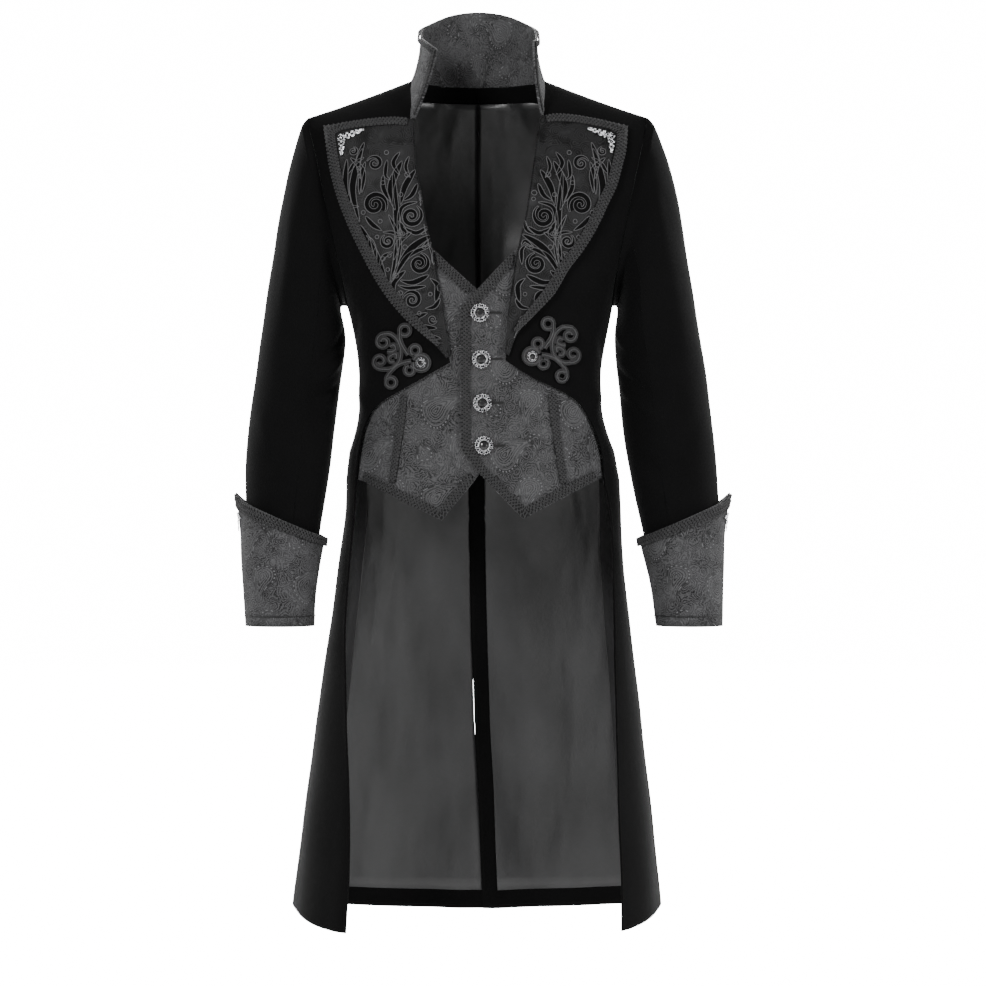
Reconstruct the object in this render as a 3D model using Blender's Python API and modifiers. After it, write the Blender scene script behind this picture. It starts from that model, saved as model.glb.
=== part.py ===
"""Velvet tailcoat, standing as it is worn, with its attached jacquard waistcoat front.

The coat faces -Y, X runs to its right as seen from the front, and the origin lies between the
shoulders at the height of the neck points. Sizes in the tables are millimetres.
"""

import math

import bmesh
import bpy
from mathutils import Vector

MM = 0.001

VELVET = 2.0
LAPEL_WALL = 2.0
COLLAR_WALL = 3.0
JACQUARD = 1.5
LINING = 1.0
BRAID = 1.6
SEAM = 0.45
SEAM_REACH = 105.0
LAY = 0.9
NUDGE = math.degrees(SEAM / 2 / SEAM_REACH)

CHEST_Z = -290.0
HEM_Z = -1093.0
LINING_END_Z = -1068.0
VENT_TOP_Z = -480.0
NECK_HALF = 88.0
NECK_BACK_Z = 0.0
SHOULDER_SLOPE = 0.35
NECK_SLOPE = 0.55
NECK_BLEND = 12.0
RIDGE_Y = 5.0
RIDGE_SOFT = 18.0
RIDGE_GAP = 0.3
SHOULDER_ROUND = 2.3
SECTION_POWER = 2.4
FACING = 22.0
ROLL_SET_BACK = 4.0
SEAM_COLUMN = 6.0
LEFT, RIGHT = -1, 1
SIDE_NAMES = {LEFT: "left", RIGHT: "right"}

BRAID_WIDE = 13.0
BRAID_VEST = 11.5
BRAID_SEAM = 9.0
BRAID_COLLAR = 8.0


class Table:
    """Rows of named columns, read smoothly between its rows along the first column."""

    def __init__(self, columns, *rows):
        self.columns = columns.split()
        self.rows = sorted(rows)

    def at(self, key, column):
        place = self.columns.index(column)
        keys = [row[0] for row in self.rows]
        values = [row[place] for row in self.rows]
        if key <= keys[0]:
            return values[0]
        if key >= keys[-1]:
            return values[-1]
        step = max(i for i in range(len(keys) - 1) if keys[i] <= key)

        def slope(i):
            if i in (0, len(keys) - 1):
                return 0.0 if i else (values[1] - values[0]) / (keys[1] - keys[0])
            before = (values[i] - values[i - 1]) / (keys[i] - keys[i - 1])
            after = (values[i + 1] - values[i]) / (keys[i + 1] - keys[i])
            return 0.0 if before * after <= 0 else 2 * before * after / (before + after)

        width = keys[step + 1] - keys[step]
        t = (key - keys[step]) / width
        low, high = values[step], values[step + 1]
        rise = (2 * t**3 - 3 * t**2 + 1) * low + (3 * t**2 - 2 * t**3) * high
        return rise + width * ((t**3 - 2 * t**2 + t) * slope(step) + (t**3 - t**2) * slope(step + 1))

    def straight(self, key, column):
        """The same read in straight runs, for an edge with corners."""
        place = self.columns.index(column)
        for before, after in zip(self.rows, self.rows[1:]):
            if key <= after[0]:
                share = max((key - before[0]) / (after[0] - before[0]), 0.0)
                return before[place] + (after[place] - before[place]) * share
        return self.rows[-1][place]


TORSO = Table(
    "z half front back mid sway",
    (20, 250, 66, 108, 5, 0),
    (-50, 243, 80, 112, 5, 0),
    (-100, 233, 92, 117, 5, 0),
    (-150, 219, 102, 120, 5, 0),
    (-200, 203, 109, 120, 4, 0),
    (-250, 186, 113, 117, 3, 1),
    (-290, 174, 114, 112, 2, 2),
    (-328, 165, 112, 105, 1, 3),
    (-391, 157, 104, 92, 0, 3),
    (-425, 157, 101, 87, 0, 3),
    (-455, 163, 100, 88, 2, 4),
    (-480, 172, 101, 94, 4, 5),
    (-516, 178, 104, 103, 7, 6),
    (-560, 179, 108, 112, 12, 7),
    (-620, 185, 112, 120, 18, 4),
    (-711, 197, 116, 129, 26, 3),
    (-836, 213, 119, 140, 36, 1),
    (-930, 223, 121, 147, 44, 0),
    (-1027, 234, 122, 152, 54, -1),
    (-1093, 240, 122, 155, 60, -2),
)

HEM_BEND_Z = -940.0
HEM_LIFT = Table("angle lift", (0, -3), (45, -1), (92, 19), (128, 12), (180, 2))

ARMHOLE = Table(
    "z front back",
    (-48, 219, 219),
    (-100, 208, 209),
    (-150, 198, 201),
    (-205, 187, 191),
    (-262, 175, 178),
    (-290, 170.5, 169),
)

SIDE_SEAMS = Table(
    "z front back",
    (-290, 78, 105),
    (-391, 80, 108),
    (-455, 86, 114),
    (-516, 93, 122),
    (-1093, 95, 128),
)

VENT = Table(
    "z over under",
    (-480, 12, -12),
    (-600, 8, -11),
    (-700, -3, -9),
    (-795, -9, -6),
    (-866, -5, -3.5),
    (-915, 8, 0),
    (-1000, 14, 3),
    (-1093, 16, 7),
)

ROLL_LINE = {
    LEFT: Table(
        "z x",
        (0, 88), (-30, 85), (-56, 82.5), (-107, 80), (-157, 71), (-201, 63), (-221, 58),
        (-275, 48), (-332, 40), (-368, 36.5),
    ),
    RIGHT: Table(
        "z x",
        (0, 88), (-30, 84), (-58, 79), (-100, 73), (-135, 68), (-182, 62), (-221, 51),
        (-249, 46), (-288, 42), (-325, 37.5), (-365, 36.5),
    ),
}

FRONT_EDGE = {
    LEFT: Table(
        "z x",
        (-368, 36.5), (-371, 42), (-386, 68), (-399, 91), (-409, 110), (-418, 127), (-436, 142),
        (-463, 151), (-492, 156), (-593, 163), (-678, 172), (-762, 172), (-846, 168),
        (-931, 163), (-1016, 163), (-1093, 167),
    ),
    RIGHT: Table(
        "z x",
        (-365, 37), (-376, 52), (-387, 70), (-402, 105), (-413, 126), (-442, 145), (-479, 161),
        (-516, 163), (-551, 172), (-636, 176), (-762, 177), (-846, 179), (-931, 181),
        (-1016, 184), (-1093, 184),
    ),
}

LAPEL_COLUMNS = "row roll_x roll_z edge_x edge_z"
LAPEL = {
    LEFT: Table(
        LAPEL_COLUMNS,
        (0, 83, -56, 199, -60),
        (1, 82, -72, 194, -95),
        (2, 80, -107, 187, -130),
        (3, 76, -132, 178, -160),
        (4, 71, -157, 169, -183),
        (5, 67, -180, 159, -206),
        (6, 63, -201, 147, -230),
        (7, 58, -221, 132, -258),
        (8, 53, -248, 115, -285),
        (9, 48, -275, 93, -311.5),
        (10, 43.5, -303, 70, -332.5),
        (11, 40, -332, 51, -348),
        (12, 36, -360, 39.5, -362),
    ),
    RIGHT: Table(
        LAPEL_COLUMNS,
        (0, 81, -52, 193, -60),
        (1, 78, -66, 191, -89),
        (2, 73, -100, 184, -118),
        (3, 69.5, -123, 177, -142),
        (4, 66, -148, 167, -163),
        (5, 62, -178, 156, -187),
        (6, 56, -202, 144, -209),
        (7, 51, -223, 131, -229),
        (8, 46, -249, 116, -248),
        (9, 42.5, -284, 97, -281),
        (10, 39.5, -308, 70, -310),
        (11, 37.5, -330, 49, -330),
        (12, 36, -357, 39.5, -359),
    ),
}

SLEEVE_COLUMNS = "row outer_x outer_z inner_x inner_z mid_y deep"
SLEEVE = {
    LEFT: Table(
        SLEEVE_COLUMNS,
        (1, 229, -52, 177.5, -292, 5, 57),
        (2, 238, -84, 178, -297, 5, 62),
        (3, 247, -118, 177, -304, 5, 66),
        (4, 256, -160, 174.5, -314, 5, 69),
        (5, 264, -208, 172, -326, 5, 71),
        (6, 272, -262, 170.5, -342, 4, 71),
        (7, 281, -320, 174, -366, 2, 69),
        (8, 290, -388, 179, -403, 0, 65),
        (9, 297, -440, 184, -443, -6, 61),
        (10, 301, -492, 189, -492, -15, 58),
        (11, 301, -545, 198, -553, -27, 54),
        (12, 299.5, -604, 207, -612, -35, 49.5),
        (13, 297.5, -652, 211.5, -654, -41, 48),
        (14, 296.9, -701, 211.6, -702, -46, 48),
    ),
    RIGHT: Table(
        SLEEVE_COLUMNS,
        (1, 229, -52, 180.5, -292, 5, 57),
        (2, 240, -82, 181, -297, 5, 62),
        (3, 251, -112, 181, -303, 5, 66),
        (4, 261, -152, 179.5, -311, 5, 69),
        (5, 269, -199, 178, -322, 5, 71),
        (6, 275, -252, 176, -336, 4, 71),
        (7, 286, -313, 178, -360, 2, 69),
        (8, 298, -392, 183.5, -402, 0, 65),
        (9, 304, -440, 186, -445, -6, 61),
        (10, 309, -492, 192, -492, -15, 58),
        (11, 312, -545, 203, -548, -27, 54),
        (12, 312.5, -604, 219, -609, -35, 49.5),
        (13, 312.5, -652, 227.5, -654, -41, 48),
        (14, 312.6, -701, 230.9, -701, -46, 48),
    ),
}

SLEEVE_FOLDS = Table(
    "z angle slant length width height",
    (-190, 62, 4, 105, 13, 3.0),
    (-240, 84, 8, 90, 12, -3.0),
    (-300, 118, 10, 60, 12, 2.6),
    (-375, 140, 46, 26, 16, 3.2),
    (-402, 128, -50, 24, 16, -3.0),
    (-432, 60, 30, 34, 18, 2.4),
    (-470, 110, -34, 26, 16, 2.0),
)

CUFF_COLUMNS = "height outer inner mid_y deep"
CUFF = {
    LEFT: Table(
        CUFF_COLUMNS,
        (0, 299, 209.5, -46, 50.5),
        (12, 300.5, 209.5, -45, 50.8),
        (52, 303.5, 208, -41, 52),
        (95, 304.5, 203, -36, 54),
        (136, 306, 197.5, -30, 58),
    ),
    RIGHT: Table(
        CUFF_COLUMNS,
        (0, 315, 229, -46, 50.5),
        (12, 316, 228.5, -45, 50.8),
        (52, 316.5, 223.5, -41, 52),
        (95, 316.5, 215, -36, 54),
        (136, 318, 209, -30, 58),
    ),
}
CUFF_BOTTOM_Z = -704.0
CUFF_HEIGHT = 136.0
CUFF_TILT = 24.0
CUFF_SLIT = 2.5
CUFF_FLARE = 6.0
CUFF_TIP = 10.0

COLLAR_TOP = Table(
    "turn x y z",
    (-6, -53, -62, 34),
    (-5, -66, -46, 45),
    (-4, -75, -14, 56),
    (-3, -75, 22, 70),
    (-2, -60, 56, 84),
    (-1, -34, 82, 97),
    (0, 0, 92, 102),
    (1, 34, 82, 97),
    (2, 61, 56, 84),
    (3, 76, 22, 70),
    (4, 77, -14, 57),
    (5, 77, -38, 50),
    (6, 73, -56, 46),
)
COLLAR_END = {
    LEFT: Table("turn x y z", (4, 87.4, 5.2, 2.1), (4.5, 86.6, -14, -8), (5, 86, -30.5, -22),
                (6, 82, -49, -51)),
    RIGHT: Table("turn x y z", (4, 87.4, 5.2, 2.1), (4.5, 86.6, -14, -8), (5, 86, -30.5, -22),
                 (6, 83, -48, -47)),
}
COLLAR_CORNER = 4.0
COLLAR_GAP = 0.95

VEST_LAY = -(VELVET + 2.2)
VEST_HEM = {
    LEFT: Table("x z", (-9, -498), (-2, -511), (46, -568), (98, -543), (150, -516), (168, -512)),
    RIGHT: Table("x z", (-21, -477), (2, -509), (58, -566), (106, -541), (154, -516), (168, -508)),
}
VEST_NECK = {
    LEFT: Table("x z", (-9, -284), (0, -277), (59, -223), (96, -186)),
    RIGHT: Table("x z", (-21, -300), (-3, -279), (50, -222), (96, -184)),
}
VEST_NECK_END = 96
VEST_SEAM = Table("z x", (-184, 96), (-300, 90), (-402, 94), (-523, 110), (-545, 113))
VEST_CENTRE = {LEFT: -9.0, RIGHT: -21.0}
VEST_POINT = {LEFT: 46.0, RIGHT: 58.0}
VEST_SEAM_END = 111.0
VEST_SIDE_X = 160.0

BUTTONS = Table("number x z", (1, 3, -305), (2, 4.5, -363), (3, 6, -419), (4, 8, -474))

FROG_RINGS = Table(
    "ring x z radius hole",
    (1, 92, -327, 9.8, 2.6),
    (2, 79, -352.4, 9.3, 2.4),
    (3, 71.4, -368.2, 12.8, 7.7),
    (4, 86, -377.4, 8.9, 2.2),
    (5, 109.3, -392.8, 9.4, 2.4),
    (6, 118.9, -341, 13.2, 3.0),
    (7, 123.2, -365.2, 13.2, 3.0),
)
FROG_STEMS = (
    ((113, -330.5), (104.5, -337), (99.6, -346), (97.6, -358), (102.2, -368.8), (111, -377), (120, -378)),
    ((96.4, -336), (94.5, -348), (87.5, -359.5)),
    ((117, -353.5), (108, -352), (99, -355)),
    ((83, -363), (93, -369), (101.5, -374.5), (108, -385)),
)
FROG_SHIFT = {LEFT: (0.0, 0.0), RIGHT: (-3.0, 8.2)}
FROG_CORD = 6.4
FROG_THICK = 2.4
FROG_LAY = 1.0
FROG_BUTTON_LAY = 0.9
FROG_PARTS = 9

MATERIALS = {
    "velvet": ((0.012, 0.012, 0.013), 0.85, 0.0),
    "lapel_satin": ((0.03, 0.03, 0.033), 0.55, 0.0),
    "jacquard": ((0.06, 0.06, 0.063), 0.5, 0.0),
    "lining_satin": ((0.035, 0.035, 0.038), 0.35, 0.0),
    "braid": ((0.04, 0.04, 0.042), 0.6, 0.0),
    "silver": ((0.45, 0.45, 0.44), 0.35, 1.0),
    "button": ((0.12, 0.12, 0.12), 0.3, 0.9),
}


def ridge(x):
    """Height of the shoulder line over a point x from the centre, climbing at the neck."""
    inward = NECK_HALF - 3.0 - (math.hypot(x, RIDGE_SOFT) - 1.8)
    climb = 0.5 * (inward + math.hypot(inward, NECK_BLEND))
    return SHOULDER_SLOPE * inward + NECK_SLOPE * climb


def crown(x, front):
    """Height of the cloth's top edge: the shoulder line, and the neckline on the back."""
    if front or abs(x) >= NECK_HALF:
        return ridge(x)
    share = (abs(x) / NECK_HALF) ** 3
    return NECK_BACK_Z + (ridge(NECK_HALF) - NECK_BACK_Z) * share


def depth(reach, z, front, out=0.0):
    """The y of the coat's outside, reach from its middle, moved out by out."""
    half = TORSO.at(z, "half") + out
    mid = TORSO.at(z, "mid")
    share = min(abs(reach) / half, 1.0)
    bulge = (1 - share**SECTION_POWER) ** (1 / SECTION_POWER)
    if front:
        y = mid - (mid + TORSO.at(z, "front") + out) * bulge
    else:
        y = mid + (TORSO.at(z, "back") + out - mid) * bulge
    if z <= CHEST_Z:
        return y
    top = ridge(reach) + out
    drop = min(max((top - z) / (top - CHEST_Z), 0.0), 1.0)
    close = math.sqrt(1 - (1 - drop) ** SHOULDER_ROUND)
    start = RIDGE_Y - RIDGE_GAP if front else RIDGE_Y + RIDGE_GAP
    return start + (y - start) * close


def level_z(reach, level, front):
    """A level is a height at the neck point. Above the chest it follows the shoulder down."""
    if level <= CHEST_Z:
        return level
    return CHEST_Z + (crown(reach, front) - CHEST_Z) * (level - CHEST_Z) / -CHEST_Z


def hem_lift(angle, level):
    """How much higher the hem hangs at an angle round the coat, fading out above it."""
    return HEM_LIFT.at(angle, "lift") * blend(0, 1, (HEM_BEND_Z - level) / (HEM_BEND_Z - HEM_Z))


def surface(side, angle, level, out=0.0):
    """A point of the coat's outside, at an angle of 0 at centre front to 180 at centre back."""
    front = angle <= 90
    share = abs(math.sin(math.radians(angle))) ** (2 / SECTION_POWER)
    z = level + hem_lift(angle, level)
    reach = 0.0
    for _ in range(6 if level > CHEST_Z else 1):
        reach = (TORSO.at(z, "half") + out) * share
        if level > CHEST_Z:
            z = level_z(reach, level, front)
    return Vector((TORSO.at(z, "sway") + side * reach, depth(reach, z, front, out), z))


def angle_of(reach, z, front=True):
    share = min(abs(reach) / TORSO.at(z, "half"), 1.0)
    angle = math.degrees(math.asin(share ** (SECTION_POWER / 2)))
    return angle if front else 180 - angle


def on_front(x, z, out=0.0):
    """The point of the coat's front at x and z, moved out."""
    reach = x - TORSO.at(z, "sway")
    return Vector((x, depth(reach, z, True, out), z))


def edge_angle(side, level, edge_x, front=True):
    """The angle where a level meets an edge given as an x for each height."""
    reach, z = 100.0, level
    for _ in range(8):
        z = level_z(reach, level, front)
        reach = edge_x(z)
    return angle_of(reach, z, front)


def blend(low, high, share):
    share = min(max(share, 0.0), 1.0)
    return low + (high - low) * share * share * (3 - 2 * share)


def steps(count):
    return [i / count for i in range(count + 1)]


def net_normals(net):
    """Outward normals of a net whose rows run down and whose columns run to +X at the front."""
    rows, columns = len(net), len(net[0])
    normals = []
    for i in range(rows):
        line = []
        for j in range(columns):
            across = net[i][min(j + 1, columns - 1)] - net[i][max(j - 1, 0)]
            down = net[min(i + 1, rows - 1)][j] - net[max(i - 1, 0)][j]
            line.append(down.cross(across).normalized())
        normals.append(line)
    return normals


def moved(net, distance):
    """The same net moved out along its normals."""
    normals = net_normals(net)
    return [
        [point + normal * distance for point, normal in zip(line, turned)]
        for line, turned in zip(net, normals)
    ]


def clear_scene():
    for item in list(bpy.data.objects):
        bpy.data.objects.remove(item, do_unlink=True)


def make_collection(name, hidden=False):
    made = bpy.data.collections.new(name)
    bpy.context.scene.collection.children.link(made)
    made.hide_render = hidden
    return made


def material(name):
    found = bpy.data.materials.get(name)
    if found:
        return found
    colour, roughness, metallic = MATERIALS[name]
    made = bpy.data.materials.new(name)
    made.use_nodes = True
    shader = made.node_tree.nodes["Principled BSDF"]
    shader.inputs["Base Color"].default_value = (*colour, 1.0)
    shader.inputs["Roughness"].default_value = roughness
    shader.inputs["Metallic"].default_value = metallic
    made.diffuse_color = (*colour, 1.0)
    return made


def place(name, mesh, look, collection):
    mesh.materials.append(material(look))
    mesh.shade_smooth()
    mesh.set_sharp_from_angle(angle=math.radians(40))
    item = bpy.data.objects.new(name, mesh)
    collection.objects.link(item)
    return item


def cloth(name, net, wall, look, collection, outward=False):
    """A shell from a net: its wall goes inward from the net, or outward."""
    work = bmesh.new()
    grid = [[work.verts.new(point * MM) for point in line] for line in net]
    for upper, lower in zip(grid, grid[1:]):
        for j in range(len(upper) - 1):
            work.faces.new((upper[j], lower[j], lower[j + 1], upper[j + 1]))
    mesh = bpy.data.meshes.new(name)
    work.to_mesh(mesh)
    work.free()
    item = place(name, mesh, look, collection)
    shell = item.modifiers.new("wall", "SOLIDIFY")
    shell.thickness = wall * MM
    shell.offset = 1.0 if outward else -1.0
    shell.use_even_offset = True
    return item


def facing(side, net):
    """Turns a net that runs outward from the centre so that its columns run to +X."""
    return net if side == RIGHT else [list(reversed(line)) for line in net]


def front_edge_x(side, z):
    """The cut edge of a front: set back under the lapel's roll, then the cutaway and the tail."""
    lowest = FRONT_EDGE[side].rows[-1][0]
    if z < lowest:
        return FRONT_EDGE[side].at(z, "x")
    roll = blend(0, 1, (-22 - z) / 18) * min(1.0, (z - lowest) / 25)
    return ROLL_LINE[side].at(z, "x") + ROLL_SET_BACK * roll


ARMHOLE_STEP = 18.0
ARMHOLE_CORNER = 162.0
ARMHOLE_RUNS = round(ARMHOLE_CORNER / ARMHOLE_STEP)


def armhole_edge(side, front, level, out=0.0):
    column = "front" if front else "back"
    angle = edge_angle(side, level, lambda z: ARMHOLE.at(z, column), front)
    return surface(side, angle, level, out)


def armhole_levels(side, front):
    """Levels that cut the armhole's edge into equal runs, from the shoulder to its corner."""
    fine = [-abs(CHEST_Z) * t**1.6 for t in steps(120)]
    way = [armhole_edge(side, front, level) for level in fine]
    lengths = [0.0]
    for a, b in zip(way, way[1:]):
        lengths.append(lengths[-1] + (b - a).length)
    levels = []
    for k in range(ARMHOLE_RUNS + 1):
        goal = lengths[-1] * k / ARMHOLE_RUNS
        i = min(range(len(lengths)), key=lambda n: abs(lengths[n] - goal))
        levels.append(fine[i])
    return levels


def armhole_stations(side, front):
    """The armhole's edge as (angle round the sleeve, level), its first run split at the shoulder."""
    levels = armhole_levels(side, front)
    stations = [(ARMHOLE_STEP * k, level) for k, level in enumerate(levels)]
    return stations[:1] + [(SHOULDER_TURN, SHOULDER_LEVEL)] + stations[1:]


SHOULDER_TURN = 6.0
ARMHOLE_OUT = 0.75
UNDERARM_OUT = 1.5
SHOULDER_MOVE = (0.9, 0.5)
SHOULDER_LEVEL = -0.8
TAIL_LEVELS = (-455, -480, -518, -560, -620, -711, -836, -930, -1027, LINING_END_Z, HEM_Z)


def front_net(side):
    corner = FRONT_EDGE[side].rows[-1][0]
    cutaway = (corner, corner - 12, corner - 24, corner - 37, corner - 50, corner - 64, corner - 82)
    net = []
    levels = [level for _, level in armhole_stations(side, True)] + [-322] + list(cutaway + TAIL_LEVELS)
    for level in levels:
        inner = edge_angle(side, level, lambda z: front_edge_x(side, z) - side * TORSO.at(z, "sway"))
        if level > CHEST_Z:
            outer = edge_angle(side, level, lambda z: ARMHOLE.at(z, "front"))
        else:
            outer = SIDE_SEAMS.at(level, "front") - NUDGE
        reach = TORSO.at(level, "half")
        strip = min(math.degrees(FACING / reach) * 0.8, (outer - inner) * 0.3)
        last = math.degrees(SEAM_COLUMN / reach)
        angles = [inner] + [inner + strip + (outer - last - inner - strip) * t for t in steps(5)] + [outer]
        net.append([surface(side, angle, level) for angle in angles])
    return facing(side, net)


SIDE_LEVELS = (CHEST_Z, -328, -360, -391, -425) + TAIL_LEVELS


def side_net(side):
    net = []
    for level in SIDE_LEVELS:
        first = SIDE_SEAMS.at(level, "front") + NUDGE
        last = SIDE_SEAMS.at(level, "back") - NUDGE
        edge = math.degrees(SEAM_COLUMN / TORSO.at(level, "half"))
        angles = [first] + [first + edge + (last - first - 2 * edge) * t for t in steps(2)] + [last]
        net.append([surface(side, angle, level) for angle in angles])
    return facing(side, net)


BACK_LEVELS = (-328, -391, -425, -455, -478)
VENT_LEVELS = (-486, -516, -560, -620, -711, -795, -830, -866, -895, -930, -1000, LINING_END_Z, HEM_Z)
VENT_STEP = 2.9
VENT_DIP = (32.0, 7.0)
VENT_STRIP = 20.0
LINING_VENT_Z = -440.0
LINING_VENT_GAP = 1.3
CENTRE_GAP = 0.38
BACK_TURN = 165
LINING_GAP = 0.7


def vent_dip(side, x, z):
    """How far the underlap of the back's right side lies inside the left one."""
    if side == LEFT or z > -430:
        return 0.0
    high, low = (VENT.at(z, "over") + reach for reach in VENT_DIP)
    near = min(max((high - x) / (high - low), 0.0), 1.0)
    return -VENT_STEP * near * blend(0, 1, (-435 - z) / 38)


def back_edge_x(side, z):
    """Where a back piece ends at the middle: at the seam, or at its edge of the vent."""
    if z > VENT_TOP_Z:
        return side * CENTRE_GAP
    return VENT.at(z, "over" if side == LEFT else "under")


def back_point(side, x, z):
    return Vector((x, depth(x - TORSO.at(z, "sway"), z, False, vent_dip(side, x, z)), z))


def back_net(side, start=back_edge_x):
    """A back piece, from its outer seam to the middle, closer at the neck point and the vent."""
    levels = [level for _, level in armhole_stations(side, False)] + list(BACK_LEVELS + VENT_LEVELS)
    corner = NECK_HALF + 0.2
    neck = angle_of(corner, ridge(corner), front=False)
    net = []
    for level in levels:
        if level > CHEST_Z:
            outer = edge_angle(side, level, lambda z: ARMHOLE.at(z, "back"), front=False)
        else:
            outer = SIDE_SEAMS.at(level, "back") + NUDGE
        edge = math.degrees(SEAM_COLUMN / TORSO.at(level, "half"))
        line = [surface(side, outer, level)]
        turns = [outer + edge + (BACK_TURN - outer - edge) * t for t in steps(3)]
        line += [surface(side, turn, level) for turn in turns[:-1] + [neck, BACK_TURN]]
        wide = line[-1]
        end = start(side, wide.z)
        places = [wide.x + (end - wide.x) * share for share in (0.4, 0.7)]
        if side == RIGHT:
            places = [max(VENT.at(wide.z, "over") + reach, end + gap)
                      for reach, gap in zip(VENT_DIP, (4.0, 2.0))]
        for x in places + [end]:
            z = level_z(abs(x), level, False)
            line.append(back_point(side, x, z + hem_lift(angle_of(x, z, False), level)))
        net.append(line)
    return net if side == RIGHT else [list(reversed(line)) for line in net]


def back_lining_edge(side, z):
    """The lining stops short of the underlap on the left, and leaves the velvet strip on the right."""
    if z > LINING_VENT_Z:
        return side * CENTRE_GAP
    return VENT.at(z, "under") + (-LINING_VENT_GAP if side == LEFT else VENT_STRIP)


def lining_net(net, rows):
    """A lining: a panel's net moved in past its wall, cut to some rows, drawn in at its seams."""
    inside = moved(net, -(VELVET + LINING_GAP))[rows]
    for line in inside:
        for edge, beside in ((0, 1), (-1, -2)):
            line[edge] = line[edge] + (line[beside] - line[edge]).normalized() * SEAM
    return inside


def back_lining_net(side):
    return lining_net(back_net(side, back_lining_edge), slice(2, -1))


def side_lining_net(side):
    return lining_net(side_net(side), slice(0, -1))


def front_lining_net(side):
    """The tail's front part is lined from its velvet facing to the side seam."""
    net = lining_net(front_net(side), slice(-(len(TAIL_LEVELS) - 2), -1))
    return [line[1:] if side == RIGHT else line[:-1] for line in net]


def lapel_lift(side, x, z):
    """The stiff peak stands off the shoulder a little."""
    row = LAPEL[side].rows[0]
    gap = math.hypot(abs(x) - row[3], z - row[4])
    return 2.5 * math.exp(-((gap / 45) ** 2))


def lapel_top(side, share):
    """The top edge rises between the collar and the peak."""
    return (6.5 if side == LEFT else 8.0) * math.sin(math.pi * share**0.6)


LAPEL_LAY = LAPEL_WALL + 0.95
ROLL_PROFILE = ((0.0, -1.7), (0.9, 1.9), (3.6, 3.9), (12.0, 4.0))
ROLL_FALL = 27.0


def lapel_lie(run):
    """How far off the coat the lapel lies, a run away from its roll."""
    start, high = ROLL_PROFILE[-1]
    return LAPEL_LAY + (high - LAPEL_LAY) * min(max(1 - (run - start) / ROLL_FALL, 0.0), 1.0)


def lapel_net(side):
    net = []
    for row in LAPEL[side].rows:
        number, roll_x, roll_z, edge_x, edge_z = row
        wide = math.hypot(edge_x - roll_x, edge_z - roll_z)
        band = min(BRAID_WIDE + 1.5, wide * 0.4)
        tight = min(1.0, wide / 60)
        places = [(run * tight, rise) for run, rise in ROLL_PROFILE]
        first = places[-1][0]
        last = wide - band
        runs = [first + (last - first) * t for t in (0.3, 0.55, 0.8, 1.0)] + [wide]
        places += [(run, lapel_lie(run)) for run in runs]
        bump = {0: 1.0, 1: 0.35}.get(number, 0.0)
        line = []
        for run, rise in places:
            share = run / wide
            x = side * (roll_x + (edge_x - roll_x) * share)
            z = roll_z + (edge_z - roll_z) * share + bump * lapel_top(side, share)
            rise = LAPEL_LAY + (rise - LAPEL_LAY) * blend(0, 1, (wide - 26) / 24)
            line.append(on_front(x, z, rise + lapel_lift(side, x, z)))
        net.append(line)
    return facing(side, net)


def strip_net(path, width, lay):
    """Two lines along a path of (x, z): the path, and a second one width to its left."""
    count = len(path)
    net = []
    for i, (x, z) in enumerate(path):
        before = path[max(i - 1, 0)]
        after = path[min(i + 1, count - 1)]
        first = Vector((x - before[0], z - before[1]))
        last = Vector((after[0] - x, after[1] - z))
        first = first.normalized() if first.length else last.normalized()
        last = last.normalized() if last.length else first
        normal = (Vector((-first.y, first.x)) + Vector((-last.y, last.x))).normalized()
        spread = max(normal.dot(Vector((-first.y, first.x))), 0.5)
        across = width[i] if isinstance(width, (list, tuple)) else width
        net.append([lay(x, z), lay(x + normal.x * across / spread, z + normal.y * across / spread)])
    return net


def divided(points, run):
    """The path with its runs split into equal lengths of about the given run."""
    path = []
    for (x0, z0), (x1, z1) in zip(points, points[1:]):
        length = math.hypot(x1 - x0, z1 - z0)
        steep = abs(x1 - x0) < 0.1 * length
        parts = max(1, round(length / (run * 3 if steep else run)))
        path += [(x0 + (x1 - x0) * i / parts, z0 + (z1 - z0) * i / parts) for i in range(parts)]
    return path + [points[-1]]


def lapel_edge(side):
    """The lapel's outline from the collar to the peak and down to its point."""
    first = LAPEL[side].rows[0]
    top = []
    for share in (0.06, 0.2, 0.4, 0.6, 0.8):
        x = first[1] + (first[3] - first[1]) * share
        z = first[2] + (first[4] - first[2]) * share + lapel_top(side, share)
        top.append((side * x, z))
    edge = [(side * row[3], row[4]) for row in LAPEL[side].rows]
    return top + edge[:-1]


def vest_out(side, x):
    """The left front of the waistcoat dips under the right one at the middle."""
    under = blend(0, 1, (x + 40) / 22) if side == LEFT else 0.0
    return VEST_LAY - (JACQUARD + 0.9) * under


def vest_columns(side):
    centre, point = VEST_CENTRE[side], VEST_POINT[side]
    shares = (0.0, 0.22, 0.45, 0.72, 1.0)
    return [centre + (point - centre) * t for t in shares]


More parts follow.
